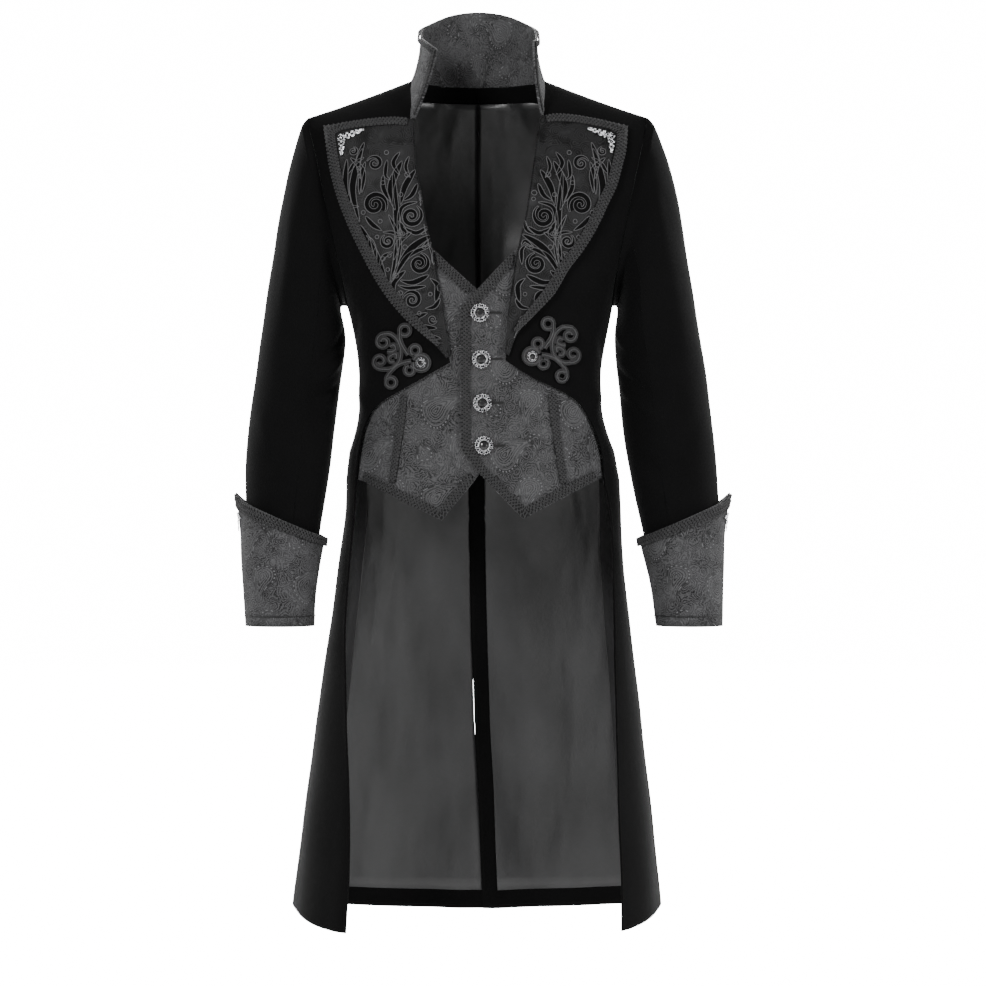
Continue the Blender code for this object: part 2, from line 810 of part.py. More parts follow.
def vest_front_net(side):
    """Centre front of the waistcoat, from the middle edge to the princess seam."""
    net = []
    rows = 11
    for i in range(rows + 1):
        line = []
        for reach in vest_columns(side) + [None, None]:
            share = i / rows
            if reach is None:
                base = VEST_POINT[side]
                part = 0.5 if len(line) == 5 else 1.0
                low = VEST_HEM[side].straight(base + (VEST_SEAM_END - base) * part, "z")
                high = VEST_NECK[side].straight(base + (VEST_NECK_END - base) * part, "z")
                z = high + (low - high) * share
                reach = base + (VEST_SEAM.at(z, "x") - SEAM * 0.75 - base) * part
            else:
                high, low = VEST_NECK[side].straight(reach, "z"), VEST_HEM[side].straight(reach, "z")
                z = high + (low - high) * share
            x = side * reach
            line.append(on_front(x, z, vest_out(side, x)))
        net.append(line)
    return facing(side, net)


def vest_side_net(side):
    """Side front of the waistcoat, from the princess seam back under the coat."""
    net = []
    rows = 7
    top = -330
    for i in range(rows + 1):
        share = i / rows
        line = []
        for t in steps(3):
            high = top + 4 * t
            low = VEST_HEM[side].straight(VEST_SEAM_END + (VEST_SIDE_X - VEST_SEAM_END) * t, "z")
            z = high + (low - high) * share
            seam = VEST_SEAM.at(z, "x") + SEAM * 0.75
            limit = min(VEST_SIDE_X, TORSO.at(z, "half") * 0.93)
            x = side * (seam + (limit - seam) * t)
            line.append(on_front(x, z, VEST_LAY))
        net.append(line)
    return facing(side, net)


def armhole_loop(side):
    """Points round the armhole by the sleeve's angle: 0 at the shoulder, 180 under the arm."""
    halves = {}
    for front, column in ((True, "front"), (False, "back")):
        stations = armhole_stations(side, front)
        way = []
        for angle, level in stations:
            out = ARMHOLE_OUT + blend(0, UNDERARM_OUT, (angle - 108) / 54)
            along, up = (part * max(0, 1 - angle / 70) for part in SHOULDER_MOVE)
            way.append((angle, armhole_edge(side, front, level, out) + Vector((side * along, 0, up))))
        corner = SIDE_SEAMS.at(CHEST_Z, column)
        out = ARMHOLE_OUT + UNDERARM_OUT
        way.append((171.0, surface(side, (corner + 91.5) / 2, CHEST_Z, out)))
        way.append((180.0, surface(side, 91.5, CHEST_Z, out)))
        halves[front] = way

    def at(angle):
        angle %= 360
        way = halves[angle <= 180]
        angle = min(angle, 360 - angle)
        for (low, start), (high, end) in zip(way, way[1:]):
            if angle <= high:
                return start.lerp(end, (angle - low) / (high - low))
        return way[-1][1].copy()

    return at


def fold_height(z, angle):
    """Soft creases of a sleeve, each a ridge or a trough along its own slanted line."""
    total = 0.0
    for row_z, row_angle, slant, length, width, height in SLEEVE_FOLDS.rows:
        along = (z - row_z) / length
        across = (angle - row_angle - slant * along) / width
        total += height * math.exp(-along * along - across * across)
    return total


def sleeve_point(side, row, angle, out=0.0):
    table = SLEEVE[side]
    outer = Vector((table.at(row, "outer_x"), 0, table.at(row, "outer_z")))
    inner = Vector((table.at(row, "inner_x"), 0, table.at(row, "inner_z")))
    centre = (outer + inner) / 2
    half = (outer - inner) / 2
    turn = math.radians(angle)
    if row < 11:
        out += fold_height(centre.z, angle % 360)
    reach = half + half.normalized() * out
    point = centre + reach * math.cos(turn)
    y = table.at(row, "mid_y") - (table.at(row, "deep") + out) * math.sin(turn)
    return Vector((side * point.x, y, point.z))


SLEEVE_ROWS = (1, 2, 3, 4.2, 5.6, 7, 7.6, 8.2, 9, 10, 11, 12.5, 14)
SLEEVE_SEAMS = (-72.0, 108.0, 288.0)
SLEEVE_NUDGE = 0.32
SLEEVE_EDGE = 4.0


def sleeve_net(side, first, last):
    """A sleeve piece from one seam to the other, with a narrow column beside each seam."""
    loop = armhole_loop(side)
    stations = int((last - first) / ARMHOLE_STEP)
    angles = [first + ARMHOLE_STEP * i for i in range(1, stations)]
    if first < 0:
        angles = sorted(angles + [-SHOULDER_TURN, SHOULDER_TURN])
    angles = [first + SLEEVE_NUDGE, first + SLEEVE_EDGE] + angles + [last - SLEEVE_EDGE, last - SLEEVE_NUDGE]
    net = [[loop(angle) for angle in angles]]
    for row in SLEEVE_ROWS:
        net.append([sleeve_point(side, row, angle) for angle in angles])
    return net if side == LEFT else [list(reversed(line)) for line in net]


def cuff_point(side, height, angle, out=0.0):
    """A point of the cuff at a height up its side, its corners flared beside the slit."""
    table = CUFF[side]
    share = height / CUFF_HEIGHT
    near = math.exp(-((min(angle, 360 - angle) / 16) ** 2))
    flare = (CUFF_FLARE * near + 1.5) * share**4
    outer = table.at(height, "outer")
    inner = table.at(height, "inner")
    half = (outer - inner) / 2 + out + flare
    turn = math.radians(angle)
    z = CUFF_BOTTOM_Z + height + share * CUFF_TILT * math.cos(turn) + share**3 * CUFF_TIP * near
    x = (outer + inner) / 2 + half * math.cos(turn)
    y = table.at(height, "mid_y") - (table.at(height, "deep") + out + flare) * math.sin(turn)
    return Vector((side * x, y, z))


CUFF_HEIGHTS = (0, 52, 95, 122, 136)


def cuff_net(side, heights=CUFF_HEIGHTS, first=CUFF_SLIT, last=360 - CUFF_SLIT, parts=20, out=0.0):
    """The net runs from the top edge down."""
    angles = [first + (last - first) * t for t in steps(parts)]
    net = [[cuff_point(side, height, angle, out) for angle in angles] for height in reversed(heights)]
    return net if side == LEFT else [list(reversed(line)) for line in net]


def collar_low(turn):
    """The collar's lower edge: on the neckline behind, then forward past the neck point."""
    if abs(turn) >= COLLAR_CORNER:
        side = RIGHT if turn > 0 else LEFT
        x, y, z = (COLLAR_END[side].at(abs(turn), name) for name in "xyz")
        return Vector((side * x, y, z))
    x = COLLAR_END[RIGHT].rows[0][1] * math.sin(math.radians(90 * turn / COLLAR_CORNER))
    z = crown(x, False)
    return Vector((x, depth(x, z, False), z + COLLAR_GAP))


def collar_point(turn, share, out=0.0):
    """A point of the collar's outside, from its neck seam at 0 to its top edge at 1."""
    low = collar_low(turn)
    top = Vector([COLLAR_TOP.at(turn, name) for name in "xyz"])
    step = 0.25
    ahead, behind = min(turn + step, 6.0), max(turn - step, -6.0)
    way = collar_low(ahead) - collar_low(behind)
    way += Vector([COLLAR_TOP.at(ahead, name) - COLLAR_TOP.at(behind, name) for name in "xyz"])
    away = (top - low).cross(way).normalized()
    hollow = -3.0 * math.sin(math.pi * share)
    return low.lerp(top, share) + away * (hollow + out)


COLLAR_TURNS = [i / 2 for i in range(-12, 13)]


def collar_net():
    turns = list(reversed(COLLAR_TURNS))
    return [[collar_point(turn, share) for turn in turns] for share in (1, 0.9, 0.66, 0.33, 0)]


def collar_braid_net():
    """One braid up the left front edge, round the top and down the right front edge."""
    share_of = BRAID_COLLAR / 95
    turn_of = BRAID_COLLAR / 24
    lay = LAY
    outer, inner = [], []
    for share in (0.03, 0.25, 0.5, 0.75):
        outer.append((-6, share))
        inner.append((-6 + turn_of, share))
    outer.append((-6, 1))
    inner.append((-6 + turn_of, 1 - share_of))
    for turn in COLLAR_TURNS[1:-1]:
        if -6 + turn_of < turn < 6 - turn_of:
            outer.append((turn, 1))
            inner.append((turn, 1 - share_of))
    outer.append((6, 1))
    inner.append((6 - turn_of, 1 - share_of))
    for share in (0.75, 0.5, 0.25, 0.03):
        outer.append((6, share))
        inner.append((6 - turn_of, share))
    return [[collar_point(turn, share, lay) for turn, share in reversed(line)] for line in (outer, inner)]


def flat_ring(x, z, radius, hole, parts):
    """Outer and inner circle of a cord loop, as points of a flat drawing."""
    turns = [2 * math.pi * i / parts for i in range(parts)]
    outer = [(x + radius * math.cos(a), z + radius * math.sin(a)) for a in turns]
    inner = [(x + hole * math.cos(a), z + hole * math.sin(a)) for a in turns]
    return outer, inner


def prism(work, outline, inner, low, high):
    """A flat cord piece between two heights: a ring, or a closed outline."""
    top = [work.verts.new((x, z, high)) for x, z in outline]
    bottom = [work.verts.new((x, z, low)) for x, z in outline]
    count = len(outline)
    pairs = [(i, (i + 1) % count) for i in range(count)]
    for i, j in pairs:
        work.faces.new((bottom[i], bottom[j], top[j], top[i]))
    if inner is None:
        work.faces.new(top)
        work.faces.new(list(reversed(bottom)))
        return
    top_in = [work.verts.new((x, z, high)) for x, z in inner]
    bottom_in = [work.verts.new((x, z, low)) for x, z in inner]
    for i, j in pairs:
        work.faces.new((top[i], top[j], top_in[j], top_in[i]))
        work.faces.new((bottom[j], bottom[i], bottom_in[i], bottom_in[j]))
        work.faces.new((bottom_in[j], bottom_in[i], top_in[i], top_in[j]))


def flat_object(name, outline, inner, low, high, collection):
    work = bmesh.new()
    prism(work, outline, inner, low, high)
    bmesh.ops.recalc_face_normals(work, faces=work.faces)
    mesh = bpy.data.meshes.new(name)
    work.to_mesh(mesh)
    work.free()
    item = bpy.data.objects.new(name, mesh)
    item.display_type = "WIRE"
    item.hide_render = True
    collection.objects.link(item)
    return item


def stem_outline(points, cord):
    """The outline of a flat cord along a route."""
    left, right = [], []
    for i, point in enumerate(points):
        before = Vector(points[max(i - 1, 0)])
        after = Vector(points[min(i + 1, len(points) - 1)])
        way = (after - before).normalized()
        across = Vector((-way.y, way.x)) * cord / 2
        left.append(tuple(Vector(point) + across))
        right.append(tuple(Vector(point) - across))
    return left + list(reversed(right))


def frog(side, collection, helpers):
    """A flat knot of looped cord: its loops and stems joined, then laid on the coat's front."""
    name = f"frog_{SIDE_NAMES[side]}"
    pieces = []
    for number, x, z, radius, hole in FROG_RINGS.rows:
        rise = 0.05 * number
        outer, inner = flat_ring(x, z, radius, hole, FROG_PARTS)
        pieces.append(flat_object(f"{name}_loop{number}", outer, inner, -rise, FROG_THICK + rise, helpers))
    for number, route in enumerate(FROG_STEMS, 1):
        rise = 0.6 + 0.13 * number
        outline = stem_outline(route, FROG_CORD)
        pieces.append(flat_object(f"{name}_stem{number}", outline, None, -0.02, FROG_THICK + rise, helpers))
    base = pieces[0]
    for piece in pieces[1:]:
        union = base.modifiers.new(piece.name, "BOOLEAN")
        union.operation = "UNION"
        union.object = piece
    bpy.context.view_layer.update()
    graph = bpy.context.evaluated_depsgraph_get()
    mesh = bpy.data.meshes.new_from_object(base.evaluated_get(graph))
    for piece in pieces:
        bpy.data.objects.remove(piece, do_unlink=True)
    shift_x, shift_z = FROG_SHIFT[side]
    for vertex in mesh.vertices:
        x, z, rise = vertex.co
        vertex.co = on_front(side * (x + shift_x), z + shift_z, FROG_LAY + rise) * MM
    if side == RIGHT:
        mesh.flip_normals()
    work = bmesh.new()
    work.from_mesh(mesh)
    bmesh.ops.remove_doubles(work, verts=work.verts, dist=2e-5)
    bmesh.ops.recalc_face_normals(work, faces=work.faces)
    work.to_mesh(mesh)
    work.free()
    mesh.name = name
    place(name, mesh, "braid", collection)


def turned(name, profile, parts, seat, away, look, collection):
    """A turned piece about its own Z, from a closed profile of (radius, height), set on a seat."""
    work = bmesh.new()
    line = [work.verts.new((radius * MM, 0, height * MM)) for radius, height in profile]
    for pair in zip(line, line[1:]):
        work.edges.new(pair)
    mesh = bpy.data.meshes.new(name)
    work.to_mesh(mesh)
    work.free()
    item = place(name, mesh, look, collection)
    item.location = seat * MM
    item.rotation_euler = away.to_track_quat("Z", "Y").to_euler()
    spin = item.modifiers.new("turn", "SCREW")
    spin.steps = parts
    spin.render_steps = parts
    spin.use_merge_vertices = True
    spin.merge_threshold = 0.00005
    spin.use_normal_calculate = True
    return item


BUTTON_PROFILE = ((0, 8.6), (2.6, 8.2), (4.4, 7.0), (5.2, 5.4), (7.4, 5.8), (10.6, 5.4), (12.0, 4.2),
                  (11.2, 3.0), (8.8, 2.4), (6.5, 0.0), (0, 0))
SMALL_PROFILE = ((0, 5.2), (3.2, 4.8), (6.0, 3.4), (6.8, 1.6), (5.4, 0.0), (0, 0))
BUTTON_LAY = 0.6
FILIGREE_WALL = 1.2


def front_away(x, z, out):
    step = 2.0
    across = on_front(x + step, z, out) - on_front(x - step, z, out)
    down = on_front(x, z - step, out) - on_front(x, z + step, out)
    return down.cross(across).normalized()


def outward_front(net):
    """Turns a strip's net round where its faces would look into the coat."""
    normal = net_normals(net)[len(net) // 2][0]
    return net if normal.y < 0 else [list(reversed(line)) for line in net]


def mirrored_path(side, path):
    """A path drawn for the left side, with X away from the middle, taken to either side."""
    placed = [(side * x, z) for x, z in path]
    return placed if side == LEFT else list(reversed(placed))


def lapel_on(side):
    def lay(x, z):
        run = abs(x) - ROLL_LINE[side].at(z, "x")
        return on_front(x, z, lapel_lie(run) + LAY + lapel_lift(side, x, z))

    return lay


def vest_on(side):
    """Places trims on the waistcoat, which end short of the lapel's roll."""
    def lay(x, z):
        limit = ROLL_LINE[side].at(z, "x") - TRIM_CLEAR if z > ROLL_END_Z else VEST_SIDE_X
        x = side * min(side * x, limit)
        return on_front(x, z, vest_out(side, x) + LAY)

    return lay


def lapel_braid_net(side):
    path = [(abs(x), z) for x, z in lapel_edge(side)]
    widths = [9.5] * 5 + [BRAID_WIDE] * (len(path) - 7) + [10.0, 5.0]
    placed = mirrored_path(side, path)
    return outward_front(strip_net(placed, widths if side == LEFT else widths[::-1], lapel_on(side)))


LAPEL_CORNER = {
    LEFT: ((147, -65), (164, -68.5), (181, -73.5), (179, -87), (176.5, -100)),
    RIGHT: ((142, -63.5), (160, -67), (176.5, -71.5), (175.5, -85), (172.5, -97)),
}
LAPEL_CORNER_WIDE = (3.0, 8.0, 9.0, 8.0, 3.0)


def lapel_corner_net(side):
    placed = mirrored_path(side, LAPEL_CORNER[side])
    return outward_front(strip_net(placed, list(LAPEL_CORNER_WIDE), lapel_on(side)))


TRIM_CLEAR = 3.0
ROLL_END_Z = -300.0
TRIM_RUN = 15.0
VEST_EDGE_RIGHT = ((45, -228), (-3, -279), (-21, -300), (-21, -477), (2, -509), (58, -566), (106, -541),
                   (153, -516.5))
VEST_NECK_LEFT = ((-6, -273), (-53, -228.5))
VEST_HEM_LEFT = ((-149, -517), (-98, -543), (-46, -568), (-2, -515.5))
VEST_SEAM_BRAID = {LEFT: (-409, -520), RIGHT: (-408, -522)}


def vest_seam_braid_net(side):
    high, low = VEST_SEAM_BRAID[side]
    net = []
    for share in steps(5):
        z = high + (low - high) * share
        middle = VEST_SEAM.at(z, "x")
        net.append([vest_on(side)(side * (middle + part * BRAID_SEAM), z) for part in (-0.5, 0.5)])
    return outward_front(net)


def cuff_corner_net(side):
    """An L of metal on the cuff's front corner, beside the slit."""
    outer = ((4.5, 100), (4.5, 111), (4.5, 120), (11, 120), (19, 119))
    inner = ((8, 101), (9.5, 108), (10, 113), (13, 115), (19, 116.5))
    net = [[cuff_point(side, height, angle, LAY) for angle, height in line] for line in (outer, inner)]
    return net if side == LEFT else [list(reversed(line)) for line in net]


def build():
    clear_scene()
    coat = make_collection("velvet_tailcoat")
    helpers = make_collection("helpers", hidden=True)

    for side, word in SIDE_NAMES.items():
        cloth(f"front_{word}", front_net(side), VELVET, "velvet", coat)
        cloth(f"side_{word}", side_net(side), VELVET, "velvet", coat)
        cloth(f"back_{word}", back_net(side), VELVET, "velvet", coat)
        cloth(f"front_lining_{word}", front_lining_net(side), LINING, "lining_satin", coat)
        cloth(f"side_lining_{word}", side_lining_net(side), LINING, "lining_satin", coat)
        cloth(f"back_lining_{word}", back_lining_net(side), LINING, "lining_satin", coat)
        cloth(f"lapel_{word}", lapel_net(side), LAPEL_WALL, "lapel_satin", coat)
        cloth(f"lapel_braid_{word}", lapel_braid_net(side), BRAID, "braid", coat, outward=True)
        cloth(f"lapel_corner_{word}", lapel_corner_net(side), FILIGREE_WALL, "silver", coat, outward=True)
        cloth(f"waistcoat_front_{word}", vest_front_net(side), JACQUARD, "jacquard", coat)
        cloth(f"waistcoat_side_{word}", vest_side_net(side), JACQUARD, "jacquard", coat)
        cloth(f"waistcoat_seam_braid_{word}", vest_seam_braid_net(side), BRAID, "braid", coat, outward=True)
        under, top = SLEEVE_SEAMS[1:], SLEEVE_SEAMS[:2]
        cloth(f"top_sleeve_{word}", sleeve_net(side, *top), VELVET, "velvet", coat)
        cloth(f"under_sleeve_{word}", sleeve_net(side, *under), VELVET, "velvet", coat)
        cloth(f"cuff_{word}", cuff_net(side), JACQUARD, "jacquard", coat)
        band = cuff_net(side, (123.5, 135.5), CUFF_SLIT + 0.4, 360 - CUFF_SLIT - 0.4, 20, LAY)
        cloth(f"cuff_braid_{word}", band, BRAID, "braid", coat, outward=True)
        cloth(f"cuff_corner_{word}", cuff_corner_net(side), FILIGREE_WALL, "silver", coat, outward=True)
        frog(side, coat, helpers)
        shift_x, shift_z = FROG_SHIFT[side]
        x, z = side * (FROG_RINGS.rows[2][1] + shift_x), FROG_RINGS.rows[2][2] + shift_z
        turned(f"frog_button_{word}", SMALL_PROFILE, 9, on_front(x, z, FROG_BUTTON_LAY),
               front_away(x, z, FROG_BUTTON_LAY), "silver", coat)

    edge = outward_front(strip_net(divided(VEST_EDGE_RIGHT, TRIM_RUN), BRAID_VEST, vest_on(RIGHT)))
    cloth("waistcoat_edge_braid_right", edge, BRAID, "braid", coat, outward=True)
    neck = outward_front(strip_net(divided(VEST_NECK_LEFT, TRIM_RUN), BRAID_VEST, vest_on(LEFT)))
    cloth("waistcoat_neck_braid_left", neck, BRAID, "braid", coat, outward=True)
    hem = outward_front(strip_net(divided(VEST_HEM_LEFT, TRIM_RUN), BRAID_VEST, vest_on(LEFT)))
    cloth("waistcoat_hem_braid_left", hem, BRAID, "braid", coat, outward=True)

    cloth("collar", collar_net(), COLLAR_WALL, "jacquard", coat)
    cloth("collar_braid", collar_braid_net(), BRAID, "braid", coat, outward=True)

    for number, x, z in BUTTONS.rows:
        out = VEST_LAY + BUTTON_LAY
        turned(f"waistcoat_button_{number}", BUTTON_PROFILE, 12, on_front(x, z, out),
               front_away(x, z, out), "button", coat)


build()
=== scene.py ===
"""Looks of the velvet tailcoat: its cloths, braids, cords, buttons and filigree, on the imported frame.

Lengths in the tables are millimetres. X runs to the right as seen from the front, the coat faces -Y.
"""

import math

import bmesh
import bpy
import numpy as np
from mathutils import Matrix, Vector, noise
from mathutils.bvhtree import BVHTree


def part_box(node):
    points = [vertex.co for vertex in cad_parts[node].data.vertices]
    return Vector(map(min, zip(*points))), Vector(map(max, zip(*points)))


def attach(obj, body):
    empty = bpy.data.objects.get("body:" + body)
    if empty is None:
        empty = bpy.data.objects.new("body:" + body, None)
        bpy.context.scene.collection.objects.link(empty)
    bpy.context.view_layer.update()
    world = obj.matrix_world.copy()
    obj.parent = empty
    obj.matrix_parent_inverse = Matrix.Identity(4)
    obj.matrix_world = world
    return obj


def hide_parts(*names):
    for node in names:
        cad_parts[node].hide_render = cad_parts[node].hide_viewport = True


MM = 0.001
LEFT, RIGHT = -1, 1
SIDES = {LEFT: "left", RIGHT: "right"}

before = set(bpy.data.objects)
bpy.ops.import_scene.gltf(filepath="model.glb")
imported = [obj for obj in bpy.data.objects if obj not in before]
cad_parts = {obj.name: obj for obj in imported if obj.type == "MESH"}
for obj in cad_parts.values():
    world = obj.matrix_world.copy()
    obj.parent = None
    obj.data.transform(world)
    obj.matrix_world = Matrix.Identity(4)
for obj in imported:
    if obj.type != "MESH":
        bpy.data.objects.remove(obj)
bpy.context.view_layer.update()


# Camera, light and floor

PHOTO_SIDE = 986
MM_PER_PIXEL = 1.3
DISTANCE = 4.5
LOOK_AT = Vector((0.0195, 0.0, -0.534))
FLOOR_Z = -1.45
SKY_LIGHT = 0.45
STUDIO_WHITE = 16.0
SENSOR = 36
FLOOR_HALF = 14


def set_camera():
    lens = bpy.data.cameras.new("camera")
    lens.sensor_width = SENSOR
    lens.lens = SENSOR * DISTANCE / (PHOTO_SIDE * MM_PER_PIXEL * MM)
    lens.clip_end = 50
    camera = loose_object("camera", lens)
    camera.location = LOOK_AT - Vector((0, DISTANCE, 0))
    camera.rotation_euler = (math.radians(90), 0, 0)
    bpy.context.scene.camera = camera


def soft_light(name, place, size, power):
    lamp = bpy.data.lights.new(name, "AREA")
    lamp.shape = "DISK"
    lamp.size = size
    lamp.energy = power
    item = loose_object(name, lamp)
    item.location = place
    item.rotation_euler = (LOOK_AT - Vector(place)).to_track_quat("-Z", "Y").to_euler()


LIGHTS = (
    ("key_light", (-1.7, -2.7, 1.1), 1.0, 165),
    ("fill_light", (2.5, -2.0, 0.3), 1.1, 120),
    ("rim_left", (-2.2, 1.2, 0.6), 1.4, 60),
    ("rim_right", (2.2, 1.2, 0.6), 1.4, 60),
    ("back_light", (0.0, 2.8, 1.4), 2.0, 90),
)


def make_floor():
    """A matt floor, as bright to the camera as the ground behind it."""
    work = bmesh.new()
    bmesh.ops.create_grid(work, x_segments=2, y_segments=2, size=FLOOR_HALF)
    bmesh.ops.translate(work, verts=work.verts, vec=(0, 0, FLOOR_Z))
    mesh = to_mesh(work, "floor")
    floor = loose_object("floor", mesh)
    paint = Finish("floor_paint", roughness=0.9)
    paint.set("Base Color", (0.9, 0.9, 0.9, 1))
    paint.set("Emission Strength", STUDIO_WHITE)
    paint.set("Emission Color", paint.node("LightPath", output="Is Camera Ray"))
    mesh.materials.append(paint.material)


def set_studio():
    make_floor()
    for row in LIGHTS:
        soft_light(*row)
    world = bpy.data.worlds.new("studio")
    world.use_nodes = True
    nodes, links = world.node_tree.nodes, world.node_tree.links
    nodes["Background"].inputs["Color"].default_value = (1, 1, 1, 1)
    seen = nodes.new("ShaderNodeLightPath")
    level = nodes.new("ShaderNodeMapRange")
    level.inputs["To Min"].default_value = SKY_LIGHT
    level.inputs["To Max"].default_value = STUDIO_WHITE
    links.new(seen.outputs["Is Camera Ray"], level.inputs["Value"])
    links.new(level.outputs[0], nodes["Background"].inputs["Strength"])
    bpy.context.scene.world = world


# Finishes

CLOTH_MAP = "cloth"
MIX_SHARE, MIX_LOW, MIX_HIGH, MIX_RESULT = 0, 6, 7, 2


def maths_node(kind):
    """A method that puts its value, and any other, through one maths node."""
    return lambda value, *others: value.finish.maths(kind, value, *others)


class Value:
    """A number or vector in a finish. Arithmetic on numbers adds the maths nodes."""

    def __init__(self, finish, socket):
        self.finish, self.socket = finish, socket

    def __rsub__(self, other):
        return self.finish.maths("SUBTRACT", other, self)

    __add__ = __radd__ = maths_node("ADD")
    __sub__ = maths_node("SUBTRACT")
    __mul__ = __rmul__ = maths_node("MULTIPLY")
    __truediv__ = maths_node("DIVIDE")
    abs = maths_node("ABSOLUTE")
    floor = maths_node("FLOOR")
    sin = maths_node("SINE")
    cos = maths_node("COSINE")
    root = maths_node("SQRT")
    least = maths_node("MINIMUM")
    most = maths_node("MAXIMUM")

    def under(self, edge, soft):
        """1 below the edge, 0 above it, with a soft step."""
        return self.finish.node("MapRange", {"interpolation_type": "SMOOTHSTEP", "clamp": True},
                                {"Value": self, "From Min": edge - soft, "From Max": edge + soft,
                                 "To Min": 1.0, "To Max": 0.0})

    def near(self, level, half, soft):
        """1 within half a width of the level, 0 away from it."""
        return (self - level).abs().under(half, soft)

    def waves(self, pitch):
        """From 0 to 1 and back at each pitch."""
        return (self * (2 * math.pi / pitch)).sin() * 0.5 + 0.5


class Finish:
    """A material, with one method for any node in it."""

    def __init__(self, name, roughness=0.8, metallic=0.0, specular=0.5, sheen=0.0, sheen_rough=0.4):
        self.material = bpy.data.materials.new(name)
        self.material.use_nodes = True
        self.tree = self.material.node_tree
        self.shader = self.tree.nodes["Principled BSDF"]
        for socket, value in (("Roughness", roughness), ("Metallic", metallic), ("Sheen Weight", sheen),
                              ("Specular IOR Level", specular), ("Sheen Roughness", sheen_rough)):
            self.set(socket, value)

    def node(self, kind, settings=None, inputs=None, output=0):
        made = self.tree.nodes.new("ShaderNode" + kind)
        for name, value in (settings or {}).items():
            setattr(made, name, value)
        for place, value in (inputs or {}).items():
            self.feed(made.inputs[place], value)
        return Value(self, made.outputs[output])

    def feed(self, socket, value):
        if isinstance(value, Value):
            self.tree.links.new(value.socket, socket)
        else:
            socket.default_value = value

    def maths(self, operation, *values):
        return self.node("Math", {"operation": operation}, dict(enumerate(values)))

    def millimetres(self):
        """The place on the object, in millimetres."""
        place = self.node("TexCoord", output="Object")
        return self.node("VectorMath", {"operation": "SCALE"}, {0: place, "Scale": 1000.0})

    def cloth_map(self):
        """The cloth's own two lengths in millimetres, from the piece's map."""
        return self.node("UVMap", {"uv_map": CLOTH_MAP})

    def split(self, vector):
        made = self.tree.nodes.new("ShaderNodeSeparateXYZ")
        self.feed(made.inputs[0], vector)
        return [Value(self, socket) for socket in made.outputs]

    def join(self, x, y, z=0.0):
        return self.node("CombineXYZ", inputs={0: x, 1: y, 2: z})

    def noise(self, where, size, detail=2.0, rough=0.5):
        return self.node("TexNoise", inputs={"Vector": where, "Scale": 1 / size, "Detail": detail,
                                             "Roughness": rough})

    def cells(self, where, size):
        """The distance to the nearest of scattered points, as a share of their spacing."""
        return self.node("TexVoronoi", {"voronoi_dimensions": "2D"}, {"Vector": where, "Scale": 1 / size})

    def colour_mix(self, share, low, high):
        made = self.tree.nodes.new("ShaderNodeMix")
        made.data_type = "RGBA"
        for place, value in ((MIX_SHARE, share), (MIX_LOW, low), (MIX_HIGH, high)):
            self.feed(made.inputs[place], grey(value) if isinstance(value, float) else value)
        return Value(self, made.outputs[MIX_RESULT])

    def set(self, name, value):
        self.feed(self.shader.inputs[name], value)

    def bump(self, height, depth_mm):
        self.set("Normal", self.node("Bump", inputs={"Height": height, "Distance": depth_mm * MM,
                                                     "Strength": 1.0}))


def grey(level):
    return (level, level, level * 1.03, 1.0)


# Dark and light tones
VELVET_TONES = (0.0007, 0.0022)
JACQUARD_TONES = (0.0252, 0.07055)
JACQUARD_LINE, JACQUARD_DOT = 0.0015, 0.08715
LAPEL_TONES = (0.0010, 0.0165)
LINING_TONES = (0.003, 0.019)
STONE_TONES = (0.002, 0.012)


def velvet_finish():
    look = Finish("velvet", roughness=0.9, specular=0.05, sheen=0.115, sheen_rough=0.3)
    where = look.millimetres()
    nap = look.noise(where, 46, detail=4.0, rough=0.6)
    pile = look.noise(where, 0.9)
    look.set("Base Color", look.colour_mix(nap * 0.7 + pile * 0.3, *VELVET_TONES))
    look.bump(pile + nap * 2.0, 0.25)
    return look.material


TEAR_TAPER, TEAR_SLIMMEST = 0.93, 0.08


def tear_field(a, b, centre, turn, radius, length, bend):
    """Nested teardrops round a point of a repeat: the field is the radius on its outline."""
    cos, sin = math.cos(math.radians(turn)), math.sin(math.radians(turn))
    da, db = a - centre[0], b - centre[1]
    along = da * cos + db * sin
    across = db * cos - da * sin + along * along * bend
    ahead = along.most(0.0)
    slim = (1.0 - ahead * (TEAR_TAPER / length)).most(TEAR_SLIMMEST)
    stretched = ahead * (radius / length) + along.least(0.0)
    wide = across / slim
    return (wide * wide + stretched * stretched).root(), wide, stretched


REPEAT = (88.0, 112.0)
TEARS = (
    # centre, turn, radius, length, bend
    ((-10.0, 18.0), 56.0, 17.5, 44.0, 0.016),
    ((22.0, -24.0), 236.0, 13.0, 36.0, -0.018),
    ((-25.0, -36.0), 128.0, 8.0, 22.0, 0.03),
    ((30.0, 38.0), 300.0, 6.0, 17.0, 0.03),
)
# Inside a teardrop's outline shares of its radius, outside it distances from it
TEAR_CORE, TEAR_INNER = 0.62, 0.8
TEAR_RIM, TEAR_OUTER, TEAR_MASK = 1.4, 4.2, 4.6


